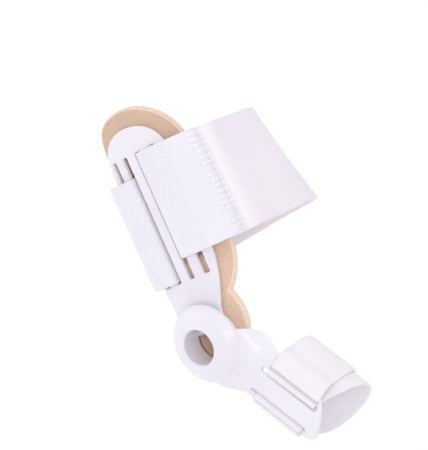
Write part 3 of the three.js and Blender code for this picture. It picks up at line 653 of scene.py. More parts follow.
def make_pad():
    well = [
        [(HUB_FORWARD + radius * math.cos(a), radius * math.sin(a) - HUB_DROP)
         for a in steps(0, 2 * math.pi, CIRCLE_STEPS)[1:]]
        for radius in (BORE_RADIUS, BORE_RADIUS - PAD_WELL_SLOPE)
    ]
    points, faces, rim_start = sheet_mesh(
        pad_outline(), [], 0, PAD_THICKNESS, PAD_ROUNDING, pad_place, PAD_SPACING, CORNER_STEPS, well)
    return new_object("foam_pad", points, faces), rim_start


# Straps: a section of points from one end to the other, for the rear edge and for the front edge
def hull_of(points):
    chain_points = sorted(set((round(x, 5), round(y, 5)) for x, y in points))

    def chain(listed):
        kept = []
        for p in listed:
            while len(kept) > 1:
                (ox, oy), (ax, ay) = kept[-2], kept[-1]
                if (ax - ox) * (p[1] - oy) - (ay - oy) * (p[0] - ox) > 0:
                    break
                kept.pop()
            kept.append(p)
        return kept[:-1]

    return chain(chain_points) + chain(chain_points[::-1])


def evenly(points, count):
    pts = np.array(points)
    lengths = np.concatenate([[0], np.cumsum(np.hypot(*np.diff(pts, axis=0).T))])
    targets = np.linspace(0, lengths[-1], count + 1)
    return [tuple(p) for p in np.stack([np.interp(targets, lengths, pts[:, k]) for k in (0, 1)], 1)]


def taut_run(wrapped, gap, start, end, count):
    """The taut way from start to end round the wrapped places, a gap clear of them, in even steps."""
    # Each place is swollen to a circle of 36 points, and the run follows the hull of them all.
    swollen = [p for x, y in wrapped for p in arc_points(x, y, gap, 0, 350, 35)]
    hull = hull_of(swollen)[::-1]
    first = min(range(len(hull)), key=lambda i: math.dist(hull[i], start))
    ordered = hull[first:] + hull[:first]
    stop = min(range(len(ordered)), key=lambda i: math.dist(ordered[i], end))
    return evenly([start, *ordered[1:stop], end], count)


def left_of(points):
    pts = np.array(points)
    along = np.gradient(pts, axis=0)
    along /= np.maximum(np.hypot(*along.T), 1e-9)[:, None]
    return np.stack([-along[:, 1], along[:, 0]], 1)


def shifted(points, amounts):
    return [tuple(p) for p in np.array(points) + left_of(points) * np.array(amounts)[:, None]]


def bend(section, sign, offset, across, out, start, end):
    return [section(x * sign, y) for x, y in arc_points(across * sign, out, offset, start, end, FOLD_STEPS)]


def slot_fold(edge, sign, section, inner, outer, offset):
    return (bend(section, sign, offset, edge, outer, 90, 180)
            + bend(section, sign, offset, edge, inner, 180, 270)[1:])


def bar_loop(fold, lift):
    sign = math.copysign(1, lift - fold)
    following = lift + 2 * sign * FOOT_STRAP_OFFSET
    return (slot_fold(fold, sign, arch_section, PLATE_INNER, PLATE_OUTER, FOOT_STRAP_OFFSET)
            + bend(arch_section, sign, FOOT_STRAP_OFFSET, lift, PLATE_INNER, 270, 360)
            + bend(arch_section, sign, FOOT_STRAP_OFFSET, following, PLATE_OUTER, 180, 90))


def foot_section(foot):
    power = 2 / foot["squareness"]
    points = []
    for angle in steps(0, 2 * math.pi, FOOT_STEPS)[1:]:
        c, s = math.cos(angle), math.sin(angle)
        points.append((
            foot["half_width"] * (1 + math.copysign(abs(c) ** power, c)),
            foot["centre_height"] + foot["half_height"] * math.copysign(abs(s) ** power, s),
        ))
    return points


def foot_strap_edge(foot):
    """One edge of the foot strap: its loops round both bars, its run, and a lap's way over the run."""
    plate = steps(-ARCH_PLANTAR_WIDTH, ARCH_DORSAL_WIDTH, PLATE_WRAP_STEPS)
    pad = steps(-ARCH_PLANTAR_WIDTH - PAD_PLANTAR_MARGIN, ARCH_DORSAL_WIDTH + PAD_DORSAL_MARGIN, WRAP_STEPS)
    wrapped = [arch_section(a, PLATE_OUTER) for a in plate]
    wrapped += [arch_section(a, PAD_THICKNESS) for a in pad]
    wrapped += foot_section(foot)
    dorsal = bar_loop(*BARS["dorsal"])
    plantar = bar_loop(*BARS["plantar"])[::-1]
    run = taut_run(wrapped, FOOT_STRAP_OFFSET + CLEARANCE, dorsal[-1], plantar[0], FOOT_STRAP_RUN_STEPS)
    return dorsal, plantar, run, shifted(run, [FOOT_STRAP_LEVEL] * len(run))


def laps(edge, lap_steps, sole_steps):
    dorsal, plantar, run, raised = edge
    return (raised[1:lap_steps + 1][::-1] + dorsal + run[1:-1] + plantar
            + raised[-sole_steps - 1:-1][::-1])


def length_steps(points, length):
    lengths = np.cumsum(np.hypot(*np.diff(np.array(points), axis=0).T))
    return int(np.searchsorted(lengths, length))


class Ribbon:
    """A strap between a rear edge and a front edge, with its stations along it and its share across it."""

    def __init__(self, rear, front, along_rear, along_front, place):
        edges = []
        for section, along in ((rear, along_rear), (front, along_front)):
            sides = left_of(section)
            here = np.array([place(a, y, z) for a, (y, z) in zip(along, section)])
            there = np.array([place(a, y + n[0], z + n[1]) for a, (y, z), n in zip(along, section, sides)])
            edges.append((here, there - here))
        (self.rear, self.rear_side), (self.front, self.front_side) = edges
        middle = (self.rear + self.front) / 2
        self.length = np.concatenate([[0], np.cumsum(np.linalg.norm(np.diff(middle, axis=0), axis=1))])
        self.width = float(np.mean(np.linalg.norm(self.front - self.rear, axis=1)))

    def point(self, i, share, height):
        """A place at a station, which may fall between two."""
        low = min(int(i), len(self.rear) - 2)
        part = i - low
        rear, front, rear_side, front_side = (
            lerp(a[low], a[low + 1], part) for a in (self.rear, self.front, self.rear_side, self.front_side))
        side = lerp(rear_side, front_side, share)
        return lerp(rear, front, share) + side / np.linalg.norm(side) * height

    def station(self, distance):
        return float(np.interp(distance, self.length, np.arange(len(self.length))))


def wander(values, seed, scale, size):
    """A gentle, repeatable waviness."""
    rng = np.random.default_rng(seed)
    total = np.zeros(len(values))
    for k in range(1, 5):
        height = rng.uniform(0.4, 1) / k
        total += height * np.sin(np.array(values) / scale * k * 2 * math.pi + rng.uniform(0, 6.3))
    return total * size / 2


def strap_unit(distance):
    """Places along and across a strap count one for every 100 millimetres."""
    return distance * MM * 10


def ribbon_object(name, ribbon, thickness, seed, waviness, pressed=lambda distance: (1, 0)):
    """The strap as a closed mesh with rounded, slightly wavy cut edges and places along and across it.

    pressed gives, at a distance from the strap's start, the share of the thickness that is left and how far
    the strap is drawn down."""
    half = thickness / 2
    shoulder, nose = half * STRAP_SHOULDER, half * STRAP_NOSE
    edge = shoulder / ribbon.width
    tuck = edge * STRAP_NOSE
    columns = round(ribbon.width / STRAP_COLUMN)
    profile = [(s, half) for s in steps(edge, 1 - edge, columns)]
    profile += [(1 - tuck, shoulder), (1, nose), (1, -nose), (1 - tuck, -shoulder)]
    profile += [(s, -half) for s in steps(1 - edge, edge, columns)]
    profile += [(tuck, -shoulder), (0, -nose), (0, nose), (tuck, shoulder)]
    rear_wave = wander(ribbon.length, seed, STRAP_REAR_WAVE, waviness)
    front_wave = wander(ribbon.length, seed + 1, STRAP_FRONT_WAVE, waviness)
    points, places = [], []
    for i, distance in enumerate(ribbon.length):
        left, drawn = pressed(distance)
        for share, height in profile:
            moved = share + (rear_wave[i] * (1 - share) + front_wave[i] * share) / ribbon.width
            points.append(tuple(ribbon.point(i, moved, height * left + drawn)))
            places.append((strap_unit(distance), strap_unit(share * ribbon.width)))
    obj = new_object(name, points, tube_faces(0, len(ribbon.length), len(profile)))
    layer = obj.data.uv_layers.new(name="along_and_across")
    for loop in obj.data.loops:
        layer.data[loop.index].uv = places[loop.vertex_index]
    return obj


def pressed_lap(distance):
    """The lap's end, pressed thin and sewn down on the run under it: the share left, and the way down."""
    rest = smooth(distance, 0, LAP_TAPER)
    left = lerp(LAP_END_SHARE, 1, rest)
    return left, (1 - rest) * CLEARANCE * LAP_SINK + (1 - left) * FOOT_STRAP_THICKNESS / 2


def make_foot_strap():
    edges = [foot_strap_edge(foot) for foot in (FOOT_REAR, FOOT_FRONT)]
    dorsal, _, _, raised = edges[0]
    lap_steps = length_steps(raised, FOOT_STRAP_LAP)
    sole_steps = length_steps(raised[::-1], FOOT_STRAP_SOLE_LAP)
    rear, front = (laps(edge, lap_steps, sole_steps) for edge in edges)
    run_start = lap_steps + len(dorsal)
    run_end = run_start + FOOT_STRAP_RUN_STEPS - 1
    shift_start, shift_end = (lerp(run_start, run_end, s) for s in (STRAP_SHIFT_START, STRAP_SHIFT_END))
    along = [
        lerp(FOOT_STRAP_DORSAL_START, FOOT_STRAP_PLANTAR_START, smooth(i, shift_start, shift_end))
        for i in range(len(rear))
    ]
    ribbon = Ribbon(rear, front, along, [a + FOOT_STRAP_WIDTH for a in along], lambda a, y, z: (a, y, z))
    strap = ribbon_object("midfoot_strap", ribbon, FOOT_STRAP_THICKNESS,
                          seed=5, waviness=FOOT_STRAP_WAVINESS, pressed=pressed_lap)
    return ribbon, strap, run_start


def step_of(run):
    """The length of the even steps of a taut run."""
    return math.dist(run[3], run[4])


def toe_lap(run, bar_width, length):
    """A lap over the start of the run, high on the plate's bar and then down on the strap."""
    on_plate = PLATE_THICKNESS + TOE_STRAP_OFFSET + TOE_STRAP_DEPTH
    spacing = step_of(run)
    landing = bar_width + TOE_STRAP_LANDING
    heights = [
        lerp(on_plate, TOE_STRAP_LEVEL, smooth(i * spacing, bar_width, landing)) for i in range(len(run))
    ]
    return shifted(run, heights)[1:round(length / spacing) + 1]


def make_toe_strap():
    offset = TOE_STRAP_OFFSET
    depth = -offset - TOE_STRAP_DEPTH
    dorsal_edge = TOE_UPPER_SLOT + TOE_SLOT_WIDTH / 2
    plantar_edge = TOE_LOWER_SLOT - TOE_SLOT_WIDTH / 2
    surface, middle = toe_section(TOE_MIDDLE, depth)
    wrapped = [toe_section(a, depth) for a in steps(TOE_PLANTAR_EDGE, TOE_DORSAL_EDGE, WRAP_STEPS)]
    wrapped += [(surface + TOE_HALF_WIDTH * (1 + math.cos(a)), middle + TOE_HALF_HEIGHT * math.sin(a))
                for a in steps(0, 2 * math.pi, CIRCLE_STEPS)[1:]]
    run = taut_run(wrapped, offset, toe_section(dorsal_edge, -offset), toe_section(plantar_edge, -offset),
                   TOE_STRAP_RUN_STEPS)
    spacing = step_of(run)
    dorsal_lap = toe_lap(run, TOE_DORSAL_EDGE - dorsal_edge, TOE_STRAP_LAP)[::-1]
    backwards = [(x, -y) for x, y in run[::-1]]
    plantar_lap = [(x, -y) for x, y in toe_lap(backwards, plantar_edge - TOE_PLANTAR_EDGE, TOE_STRAP_TAB)]
    dorsal_fold = slot_fold(dorsal_edge, 1, toe_section, 0, PLATE_THICKNESS, offset)
    plantar_fold = slot_fold(plantar_edge, -1, toe_section, 0, PLATE_THICKNESS, offset)[::-1]
    section = dorsal_lap + dorsal_fold + run[1:-1] + plantar_fold + plantar_lap
    run_start = len(dorsal_lap) + len(dorsal_fold)
    run_end = run_start + TOE_STRAP_RUN_STEPS - 2

    def lean(i):
        # The strap bows forward round the far side, and its laps are set a little back.
        from_slot = spacing * max(len(dorsal_lap) - i, i - run_end - len(plantar_fold), 0)
        share = min(max((i - run_start) / (run_end - run_start), 0), 1)
        set_back = TOE_STRAP_SET_BACK * smooth(from_slot, 0, TOE_STRAP_TAB)
        return TOE_STRAP_SWING * 4 * share * (1 - share) - set_back

    along = [TOE_STRAP_REAR + lean(i) for i in range(len(section))]
    ribbon = Ribbon(section, section, along, [a + TOE_STRAP_WIDTH for a in along], toe_frame)
    return ribbon_object("big_toe_strap", ribbon, TOE_STRAP_THICKNESS, seed=11, waviness=TOE_STRAP_WAVINESS)


def stitches(name, rows, radius):
    """Short thread bars, each told by its two ends and the way up from the cloth."""
    points, faces = [], []
    for first, last, up in rows:
        start = len(points)
        direction = (last - first) / np.linalg.norm(last - first)
        across = np.cross(direction, up)
        across /= np.linalg.norm(across)
        for t in steps(0, 1, STITCH_RINGS - 1):
            bulge = math.sin(math.pi * t)
            centre = lerp(first, last, t) + up * radius * (STITCH_CROWN * bulge - STITCH_SINK)
            girth = radius * lerp(STITCH_END_GIRTH, 1, bulge)
            for s in range(STITCH_SIDES):
                a = 2 * math.pi * s / STITCH_SIDES
                lift = math.sin(a) * girth * STITCH_FLATNESS
                points.append(tuple(centre + across * math.cos(a) * girth + up * lift))
        faces += tube_faces(start, STITCH_RINGS, STITCH_SIDES)
    return new_object(name, points, faces)


def end_stitch_rows(ribbon, run_start):
    """The sewn band across the lap's end: columns of bars on the lap, and one past its end on the run below.

    Gives the rows, and how far along the strap the lap's end lies over the run."""
    rng = np.random.default_rng(3)
    rows = []
    half = FOOT_STRAP_THICKNESS / 2
    below = range(run_start, run_start + STATIONS_BELOW_LAP)
    count = int((ribbon.width - 2 * STITCH_MARGIN) / STITCH_PITCH)
    for column in STITCH_COLUMNS:
        for k in range(count + 1):
            place = STITCH_MARGIN + k * STITCH_PITCH + rng.uniform(-STITCH_STRAY, STITCH_STRAY)
            share = place / ribbon.width
            lap_end = ribbon.point(0, share, 0)
            here = min(below, key=lambda j: np.linalg.norm(ribbon.point(j, share, 0) - lap_end))
            ends = []
            for side in (-0.5, 0.5):
                stray = rng.uniform(-STITCH_END_STRAY, STITCH_END_STRAY)
                distance = column + side * STITCH_LENGTH + stray
                if column > 0:
                    # The lap is folded back over the run, so the side that shows has the heights below zero.
                    i = ribbon.station(max(distance, 0.1))
                    left, drawn = pressed_lap(distance)
                    height, above = drawn - left * half, -1
                else:
                    i = ribbon.station(ribbon.length[here] - distance)
                    height, above = half, 1
                ends.append(ribbon.point(i, share, height))
                up = ribbon.point(i, share, above) - ribbon.point(i, share, 0)
            rows.append((*ends, up))
    return rows, float(ribbon.length[here])


# Materials
def material(name, base, roughness, finish):
    """A material whose shader has the constants of its finish set on its own sockets."""
    m = bpy.data.materials.new(name)
    m.use_nodes = True
    shader = m.node_tree.nodes["Principled BSDF"]
    shader.inputs["Base Color"].default_value = (*base, 1)
    shader.inputs["Roughness"].default_value = roughness
    for socket, value in finish.items():
        shader.inputs[socket].default_value = value
    return m, m.node_tree, shader


def linear(tone, dimmed=1):
    """A linear colour from a screen colour of 0 to 255, which dimmed makes darker first."""
    def one(v):
        v = v * dimmed / 255
        return v / 12.92 if v <= 0.04045 else ((v + 0.055) / 1.055) ** 2.4
    return tuple(one(v) for v in tone)


def feed(tree, socket, value):
    """A plain value set on a socket, or another node's output linked to it."""
    if isinstance(value, (int, float)):
        socket.default_value = value
    else:
        tree.links.new(value, socket)


def noise(tree, scale, detail, place, roughness=0.5):
    n = tree.nodes.new("ShaderNodeTexNoise")
    feed(tree, n.inputs["Scale"], scale)
    n.inputs["Detail"].default_value = detail
    n.inputs["Roughness"].default_value = roughness
    tree.links.new(place, n.inputs["Vector"])
    return n.outputs["Fac"]


def ramp(tree, value, low, high, colours):
    r = tree.nodes.new("ShaderNodeValToRGB")
    for element, position, colour in zip(r.color_ramp.elements, (low, high), colours):
        element.position = position
        element.color = (*colour, 1)
    tree.links.new(value, r.inputs["Fac"])
    return r.outputs["Color"]


def ranged(tree, value, before, after):
    """A value carried from one range to another, each told by its two ends."""
    r = tree.nodes.new("ShaderNodeMapRange")
    for socket, amount in zip(("From Min", "From Max", "To Min", "To Max"), (*before, *after)):
        feed(tree, r.inputs[socket], amount)
    tree.links.new(value, r.inputs["Value"])
    return r.outputs["Result"]


def maths(tree, operation, a, b):
    n = tree.nodes.new("ShaderNodeMath")
    n.operation = operation
    for socket, value in zip(n.inputs, (a, b)):
        feed(tree, socket, value)
    return n.outputs["Value"]


def mixed(tree, factor, a, b):
    n = tree.nodes.new("ShaderNodeMix")
    n.data_type = "RGBA"
    for socket, value in ((n.inputs[0], factor), (n.inputs[6], a), (n.inputs[7], b)):
        if isinstance(value, tuple):
            socket.default_value = (*value, 1)
        else:
            feed(tree, socket, value)
    return n.outputs[2]


def bump(tree, shader, height, strength, distance):
    n = tree.nodes.new("ShaderNodeBump")
    n.inputs["Strength"].default_value = strength
    n.inputs["Distance"].default_value = distance
    tree.links.new(height, n.inputs["Height"])
    tree.links.new(n.outputs["Normal"], shader.inputs["Normal"])


def colour_and_roughness(tree, shader, colour, roughness):
    tree.links.new(colour, shader.inputs["Base Color"])
    tree.links.new(roughness, shader.inputs["Roughness"])


def object_place(tree):
    return tree.nodes.new("ShaderNodeTexCoord").outputs["Object"]


def strap_place(tree):
    uv = tree.nodes.new("ShaderNodeUVMap")
    uv.uv_map = "along_and_across"
    return uv.outputs["UV"]


def effect(name, inputs, build):
    """An effect that several materials share: a node group with named inputs and outputs."""
    group = bpy.data.node_groups.new(name, "ShaderNodeTree")
    for socket in inputs:
        kind = "NodeSocketVector" if socket == "Place" else "NodeSocketFloat"
        group.interface.new_socket(socket, in_out="INPUT", socket_type=kind)
    entry = group.nodes.new("NodeGroupInput")
    given = build(group, *[entry.outputs[socket] for socket in inputs])
    leave = group.nodes.new("NodeGroupOutput")
    for socket, value in given.items():
        group.interface.new_socket(socket, in_out="OUTPUT", socket_type="NodeSocketFloat")
        group.links.new(value, leave.inputs[socket])
    return group


def placed(tree, group, **values):
    """A shared effect placed in a material with its own values."""
    node = tree.nodes.new("ShaderNodeGroup")
    node.node_tree = group
    for socket, value in values.items():
        feed(tree, node.inputs[socket.replace("_", " ")], value)
    return node.outputs


def cloud_and_grain(tree, place, cloud_scale, grain_scale):
    """Slow changes of tone over a piece, and its fine grain."""
    return {
        "Cloud": noise(tree, cloud_scale, 3.5, place, 0.55),
        "Grain": noise(tree, grain_scale, 4, place, 0.65),
    }


def woven_ribs(tree, place, lengthwise, crosswise):
    """Threads crossing along and across a strap."""
    ribs = []
    for direction, scale in (("X", lengthwise), ("Y", crosswise)):
        wave = tree.nodes.new("ShaderNodeTexWave")
        wave.bands_direction = direction
        wave.inputs["Distortion"].default_value = 1.2
        wave.inputs["Detail"].default_value = 2
        tree.links.new(scale, wave.inputs["Scale"])
        tree.links.new(place, wave.inputs["Vector"])
        ribs.append(wave.outputs["Fac"])
    return {"Threads": maths(tree, "MULTIPLY", ribs[0], ribs[1])}


def share_along(tree, place, start, stop):
    """From 0 at one place along the length to 1 at another."""
    split = tree.nodes.new("ShaderNodeSeparateXYZ")
    tree.links.new(place, split.inputs["Vector"])
    return {"Share": ranged(tree, split.outputs["X"], (start, stop), (0, 1))}


def foam_cells(tree, place, cell_scale, grain):
    """Open cells of a foam sheet, as a height."""
    cells = tree.nodes.new("ShaderNodeTexVoronoi")
    tree.links.new(cell_scale, cells.inputs["Scale"])
    tree.links.new(place, cells.inputs["Vector"])
    return {"Height": maths(tree, "ADD", cells.outputs["Distance"], maths(tree, "MULTIPLY", grain, 0.8))}


CLOUD_AND_GRAIN = effect("cloud_and_grain", ("Place", "Cloud Scale", "Grain Scale"), cloud_and_grain)
WOVEN_RIBS = effect("woven_ribs", ("Place", "Lengthwise", "Crosswise"), woven_ribs)
SHARE_ALONG = effect("share_along", ("Place", "Start", "Stop"), share_along)
FOAM_CELLS = effect("foam_cells", ("Place", "Cell Scale", "Grain"), foam_cells)


def make_plastic():
    """Moulded plastic with soft marks, a painted highlight on its sharp edges and warm painted shade in its
    hollows.
    """
    m, tree, shader = material("moulded_white_plastic", linear(PLASTIC["base"]), 0.36, {
        "Subsurface Weight": 0.12,
        "Subsurface Radius": (0.004, 0.003, 0.003),
        "Coat Weight": 0.12,
        "Coat Roughness": 0.2,
    })
    place = object_place(tree)
    tone = placed(tree, CLOUD_AND_GRAIN, Place=place, Cloud_Scale=38, Grain_Scale=900)
    colour = ramp(tree, tone["Cloud"], 0.3, 0.72, (linear(PLASTIC["light"]), linear(PLASTIC["shade"])))
    pointiness_for_painted_light = tree.nodes.new("ShaderNodeNewGeometry").outputs["Pointiness"]
    # Painted highlight on the sharp, convex edges.
    colour = mixed(tree, ranged(tree, pointiness_for_painted_light, (0.52, 0.6), (0, 0.55)), colour, linear(PLASTIC["edge"]))
    # Painted shade in the concave hollows, warmed like a reflection of the pad.
    colour = mixed(tree, ranged(tree, pointiness_for_painted_light, (0.49, 0.42), (0, 0.5)), colour, linear(PLASTIC["hollow_shade"]))
    smears = ranged(tree, noise(tree, 130, 4, place), (0.3, 0.7), (0.3, 0.46))
    colour_and_roughness(tree, shader, colour, smears)
    fine = maths(tree, "MULTIPLY", tone["Grain"], 0.35)
    height = maths(tree, "ADD", fine, noise(tree, 60, 2, place))
    bump(tree, shader, height, strength=0.12, distance=0.0006)
    return m


def make_foam(name, foam):
    """Open foam with a short bloom, paler towards the pad's front end: painted light there, and painted
    shade over the rear.
    """
    m, tree, shader = material(name, linear(foam["light"]), 0.92, {
        "Sheen Weight": 0.35,
        "Sheen Roughness": 0.5,
        "Sheen Tint": (1, 0.93, 0.88, 1),
    })
    place = object_place(tree)
    tone = placed(tree, CLOUD_AND_GRAIN, Place=place, Cloud_Scale=55, Grain_Scale=950)
    colour = ramp(tree, tone["Cloud"], 0.28, 0.74, (linear(foam["dark"]), linear(foam["light"])))
    # Painted light growing towards the front end, so that the rear reads as shaded.
    forward = placed(tree, SHARE_ALONG, Place=place, Start=-0.02, Stop=0.07)["Share"]
    colour = mixed(tree, maths(tree, "MULTIPLY", forward, 0.75), colour, linear(foam["front"]))
    specks = ranged(tree, tone["Grain"], (0.4, 0.68), (0, 0.35))
    colour = mixed(tree, specks, colour, linear(foam["dark"], 0.86))
    colour_and_roughness(tree, shader, colour, ranged(tree, tone["Cloud"], (0.3, 0.7), (0.86, 0.98)))
    height = placed(tree, FOAM_CELLS, Place=place, Cell_Scale=foam["cells"], Grain=tone["Grain"])["Height"]
    bump(tree, shader, height, strength=0.45, distance=0.00025)
    return m


def strap_share(tree, place, start, stop):
    """From 0 at one distance along the strap to 1 at another, in millimetres."""
    return placed(tree, SHARE_ALONG, Place=place, Start=strap_unit(start), Stop=strap_unit(stop))["Share"]


def make_webbing(name, cloth, sewn_to=0):
    """White brushed strap: a ribbed weave under a short nap, with painted shade under the stitches up to
    sewn_to.
    """
    m, tree, shader = material(name, linear(cloth["light"]), 0.88, {
        "Sheen Weight": 0.5,
        "Sheen Roughness": 0.45,
    })
    place = strap_place(tree)
    tone = placed(tree, CLOUD_AND_GRAIN, Place=object_place(tree), Cloud_Scale=42, Grain_Scale=1500)
    nap = tone["Grain"]
    colour = ramp(tree, tone["Cloud"], 0.3, 0.72, (linear(cloth["shade"]), linear(cloth["light"])))
    colour = mixed(tree, ranged(tree, nap, (0.42, 0.66), (0, 0.3)), colour, linear(cloth["shade"], 0.93))
    weave = cloth["weave"]
    fabric = placed(tree, WOVEN_RIBS, Place=place, Lengthwise=weave, Crosswise=weave * 1.25)["Threads"]
    colour = mixed(tree, ranged(tree, fabric, (0, 0.5), (0.16, 0)), colour, linear(cloth["shade"], 0.9))
    if sewn_to:
        # Painted shade among the stitch bars.
        drawn = maths(tree, "MULTIPLY", strap_share(tree, place, sewn_to + 0.8, sewn_to - 0.4), 0.62)
        colour = mixed(tree, drawn, colour, linear(SEWN_PAINTED_SHADE))
    colour_and_roughness(tree, shader, colour, ranged(tree, nap, (0.3, 0.7), (0.8, 0.96)))
    height = maths(tree, "ADD", maths(tree, "MULTIPLY", fabric, 0.7), nap)
    bump(tree, shader, height, strength=0.35, distance=0.0003)
    return m


def make_elastic(lap_end):
    """The smoother elastic stretch: fine ribs and a soft gloss, with a painted highlight band past the lap's
    end and painted shade along its stitches.
    """
    m, tree, shader = material("white_elastic_webbing", linear(ELASTIC["base"]), 0.5, {"Sheen Weight": 0.25})
    place = strap_place(tree)
    tone = placed(tree, CLOUD_AND_GRAIN, Place=object_place(tree), Cloud_Scale=30, Grain_Scale=1300)
    colour = ramp(tree, tone["Cloud"], 0.3, 0.72, (linear(ELASTIC["shade"]), linear(ELASTIC["light"])))
    fabric = placed(tree, WOVEN_RIBS, Place=place, Lengthwise=96, Crosswise=42)["Threads"]
    colour = mixed(tree, ranged(tree, fabric, (0, 0.5), (0.1, 0)), colour, linear(ELASTIC["ribs"]))
    # A painted highlight band on the run, fading out past the lap's end.
    pressed = strap_share(tree, place, lap_end + PAINTED_HIGHLIGHT_RUN, lap_end + SEWN_RUN + 3)
    colour = mixed(tree, maths(tree, "MULTIPLY", pressed, 0.75), colour, linear(ELASTIC["pressed"]))
    # Painted shade among the stitch bars on the run.
    sewn = strap_share(tree, place, lap_end + SEWN_RUN + 0.8, lap_end + SEWN_RUN - 0.6)
    colour = mixed(tree, maths(tree, "MULTIPLY", sewn, 0.8), colour, linear(SEWN_PAINTED_SHADE))
    colour_and_roughness(tree, shader, colour, ranged(tree, tone["Grain"], (0.3, 0.7), (0.42, 0.56)))
    ribs, nap = maths(tree, "MULTIPLY", fabric, 0.5), maths(tree, "MULTIPLY", tone["Grain"], 0.6)
    bump(tree, shader, maths(tree, "ADD", ribs, nap), strength=0.22, distance=0.00012)
    return m


def make_thread():
    m, tree, shader = material("white_thread", linear(THREAD["base"]), 0.6, {})
    place = object_place(tree)
    tone = placed(tree, CLOUD_AND_GRAIN, Place=place, Cloud_Scale=700, Grain_Scale=500)
    colour = ramp(tree, tone["Cloud"], 0.3, 0.7, (linear(THREAD["shade"]), linear(THREAD["light"])))
    colour_and_roughness(tree, shader, colour, ranged(tree, tone["Grain"], (0.3, 0.7), (0.5, 0.7)))
    twist = tree.nodes.new("ShaderNodeTexWave")
    twist.inputs["Scale"].default_value = 1400
    tree.links.new(place, twist.inputs["Vector"])
    bump(tree, shader, twist.outputs["Fac"], strength=0.3, distance=0.00008)
    return m


# Pieces
plastic = make_plastic()
foam_face = make_foam("beige_foam_face", FOAM_FACE)
foam_edge_painted_light = make_foam("beige_foam_edge_painted_light", FOAM_EDGE_PAINTED_LIGHT)
webbing = make_webbing("white_brushed_webbing", WEBBING, SEWN_LAP)
toe_webbing = make_webbing("white_brushed_toe_webbing", TOE_WEBBING)
thread = make_thread()

arch_splint = make_arch_plate()
arch_splint.data.materials.append(plastic)
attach(arch_splint, "arch")
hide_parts("arch_plate")

toe_splint = make_toe_plate()
toe_splint.data.materials.append(plastic)
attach(toe_splint, "toe")
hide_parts("toe_plate")

pad, rim_start = make_pad()
pad.data.materials.append(foam_face)
pad.data.materials.append(foam_edge_painted_light)
# The rim takes the paler copy of the foam: painted light on the rounded edge.
for polygon in pad.data.polygons:
    polygon.material_index = 1 if polygon.index >= rim_start else 0
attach(pad, "arch")
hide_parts("arch_pad")

foot_ribbon, foot_strap, run_start = make_foot_strap()
stitch_rows, lap_end_along = end_stitch_rows(foot_ribbon, run_start)
foot_strap.data.materials.append(webbing)
foot_strap.data.materials.append(make_elastic(lap_end_along))
around = len(foot_strap.data.vertices) // len(foot_ribbon.rear)
elastic_start, elastic_end = run_start + BRUSHED_STATIONS, run_start + FOOT_STRAP_RUN_STEPS * ELASTIC_SHARE
for polygon in foot_strap.data.polygons:
    station = min(polygon.vertices) // around
    polygon.material_index = 1 if elastic_start < station < elastic_end else 0
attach(foot_strap, "arch")
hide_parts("foot_strap")
band = stitches("strap_end_stitches", stitch_rows, STITCH_RADIUS)
band.data.materials.append(thread)
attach(band, "arch")

toe_strap = make_toe_strap()
toe_strap.data.materials.append(toe_webbing)
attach(toe_strap, "toe")
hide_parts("toe_strap")

# Floor and light, in metres
FLOOR_REACH = 6
FLOOR_DROP = 0.12
LAMP_TARGET = Vector((0.03, 0.02, 0))

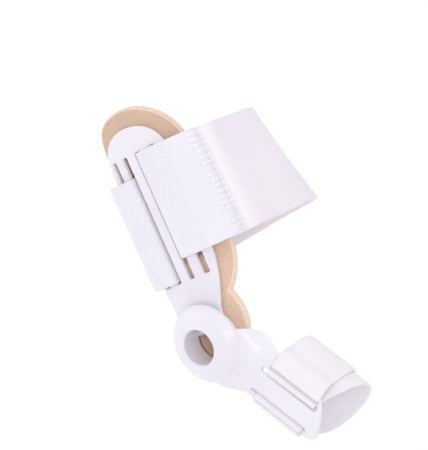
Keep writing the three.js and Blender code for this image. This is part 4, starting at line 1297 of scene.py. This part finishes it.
floor_mesh = bpy.data.meshes.new("floor")
corners = [(x * FLOOR_REACH, y * FLOOR_REACH, 0) for x, y in ((-1, -1), (1, -1), (1, 1), (-1, 1))]
floor_mesh.from_pydata(corners, [], [(0, 1, 2, 3)])
floor = bpy.data.objects.new("floor", floor_mesh)
floor.location = (0, 0, solid_box[0][2] - FLOOR_DROP)
bpy.context.scene.collection.objects.link(floor)
floor_material, floor_tree, floor_shader = material("plain_white_floor", (0.95, 0.95, 0.95), 0.9, {
    "Emission Color": (1, 1, 1, 1),
    "Emission Strength": 0.16,
})
patches = noise(floor_tree, 3, 2, object_place(floor_tree))
tint = ramp(floor_tree, patches, 0.2, 0.8, ((0.94, 0.94, 0.94), (0.96, 0.96, 0.96)))
floor_tree.links.new(tint, floor_shader.inputs["Base Color"])
floor.data.materials.append(floor_material)

world = bpy.data.worlds.new("studio")
world.use_nodes = True
sky = world.node_tree.nodes["Background"]
sky.inputs["Color"].default_value = (1.0, 0.99, 1.0, 1)
sky.inputs["Strength"].default_value = 0.8
bpy.context.scene.world = world

# Camera: its directions and its place, the sensor in millimetres and the picture in pixels
RIGHT = Vector((0.403883, 0.596545, 0.693551))
UP = Vector((-0.914806, 0.265751, 0.304148))
BACK = Vector((-0.002874, -0.757305, 0.653056))
EYE = Vector((10.993, -530.479, 477.33)) * MM
SENSOR = 36
PHOTO_HEIGHT = 450
FOCAL_PIXELS = 1589.35


def lamp(name, right, up, back, size, watts):
    """A soft square lamp at a place told from the camera's point of view, aimed at the brace."""
    data = bpy.data.lights.new(name, "AREA")
    data.shape = "SQUARE"
    data.size = size
    data.energy = watts
    obj = bpy.data.objects.new(name, data)
    obj.location = LAMP_TARGET + RIGHT * right + UP * up + BACK * back
    obj.rotation_euler = (obj.location - LAMP_TARGET).to_track_quat("Z", "Y").to_euler()
    bpy.context.scene.collection.objects.link(obj)


lamp("key", right=0.35, up=0.9, back=0.5, size=0.35, watts=1.4)
lamp("front", right=0.1, up=0.05, back=0.78, size=0.2, watts=1.05)
lamp("low_fill", right=0.8, up=-0.7, back=0.4, size=0.6, watts=0.7)

camera_data = bpy.data.cameras.new("photo_camera")
camera_data.sensor_fit = "VERTICAL"
camera_data.sensor_height = SENSOR
camera_data.lens = FOCAL_PIXELS / PHOTO_HEIGHT * SENSOR
camera_data.clip_start = 0.01
camera_data.clip_end = 50
camera = bpy.data.objects.new("photo_camera", camera_data)
camera.matrix_world = Matrix((
    (RIGHT.x, UP.x, BACK.x, EYE.x),
    (RIGHT.y, UP.y, BACK.y, EYE.y),
    (RIGHT.z, UP.z, BACK.z, EYE.z),
    (0, 0, 0, 1),
))
bpy.context.scene.collection.objects.link(camera)
bpy.context.scene.camera = camera
bpy.context.scene.view_settings.view_transform = "Standard"
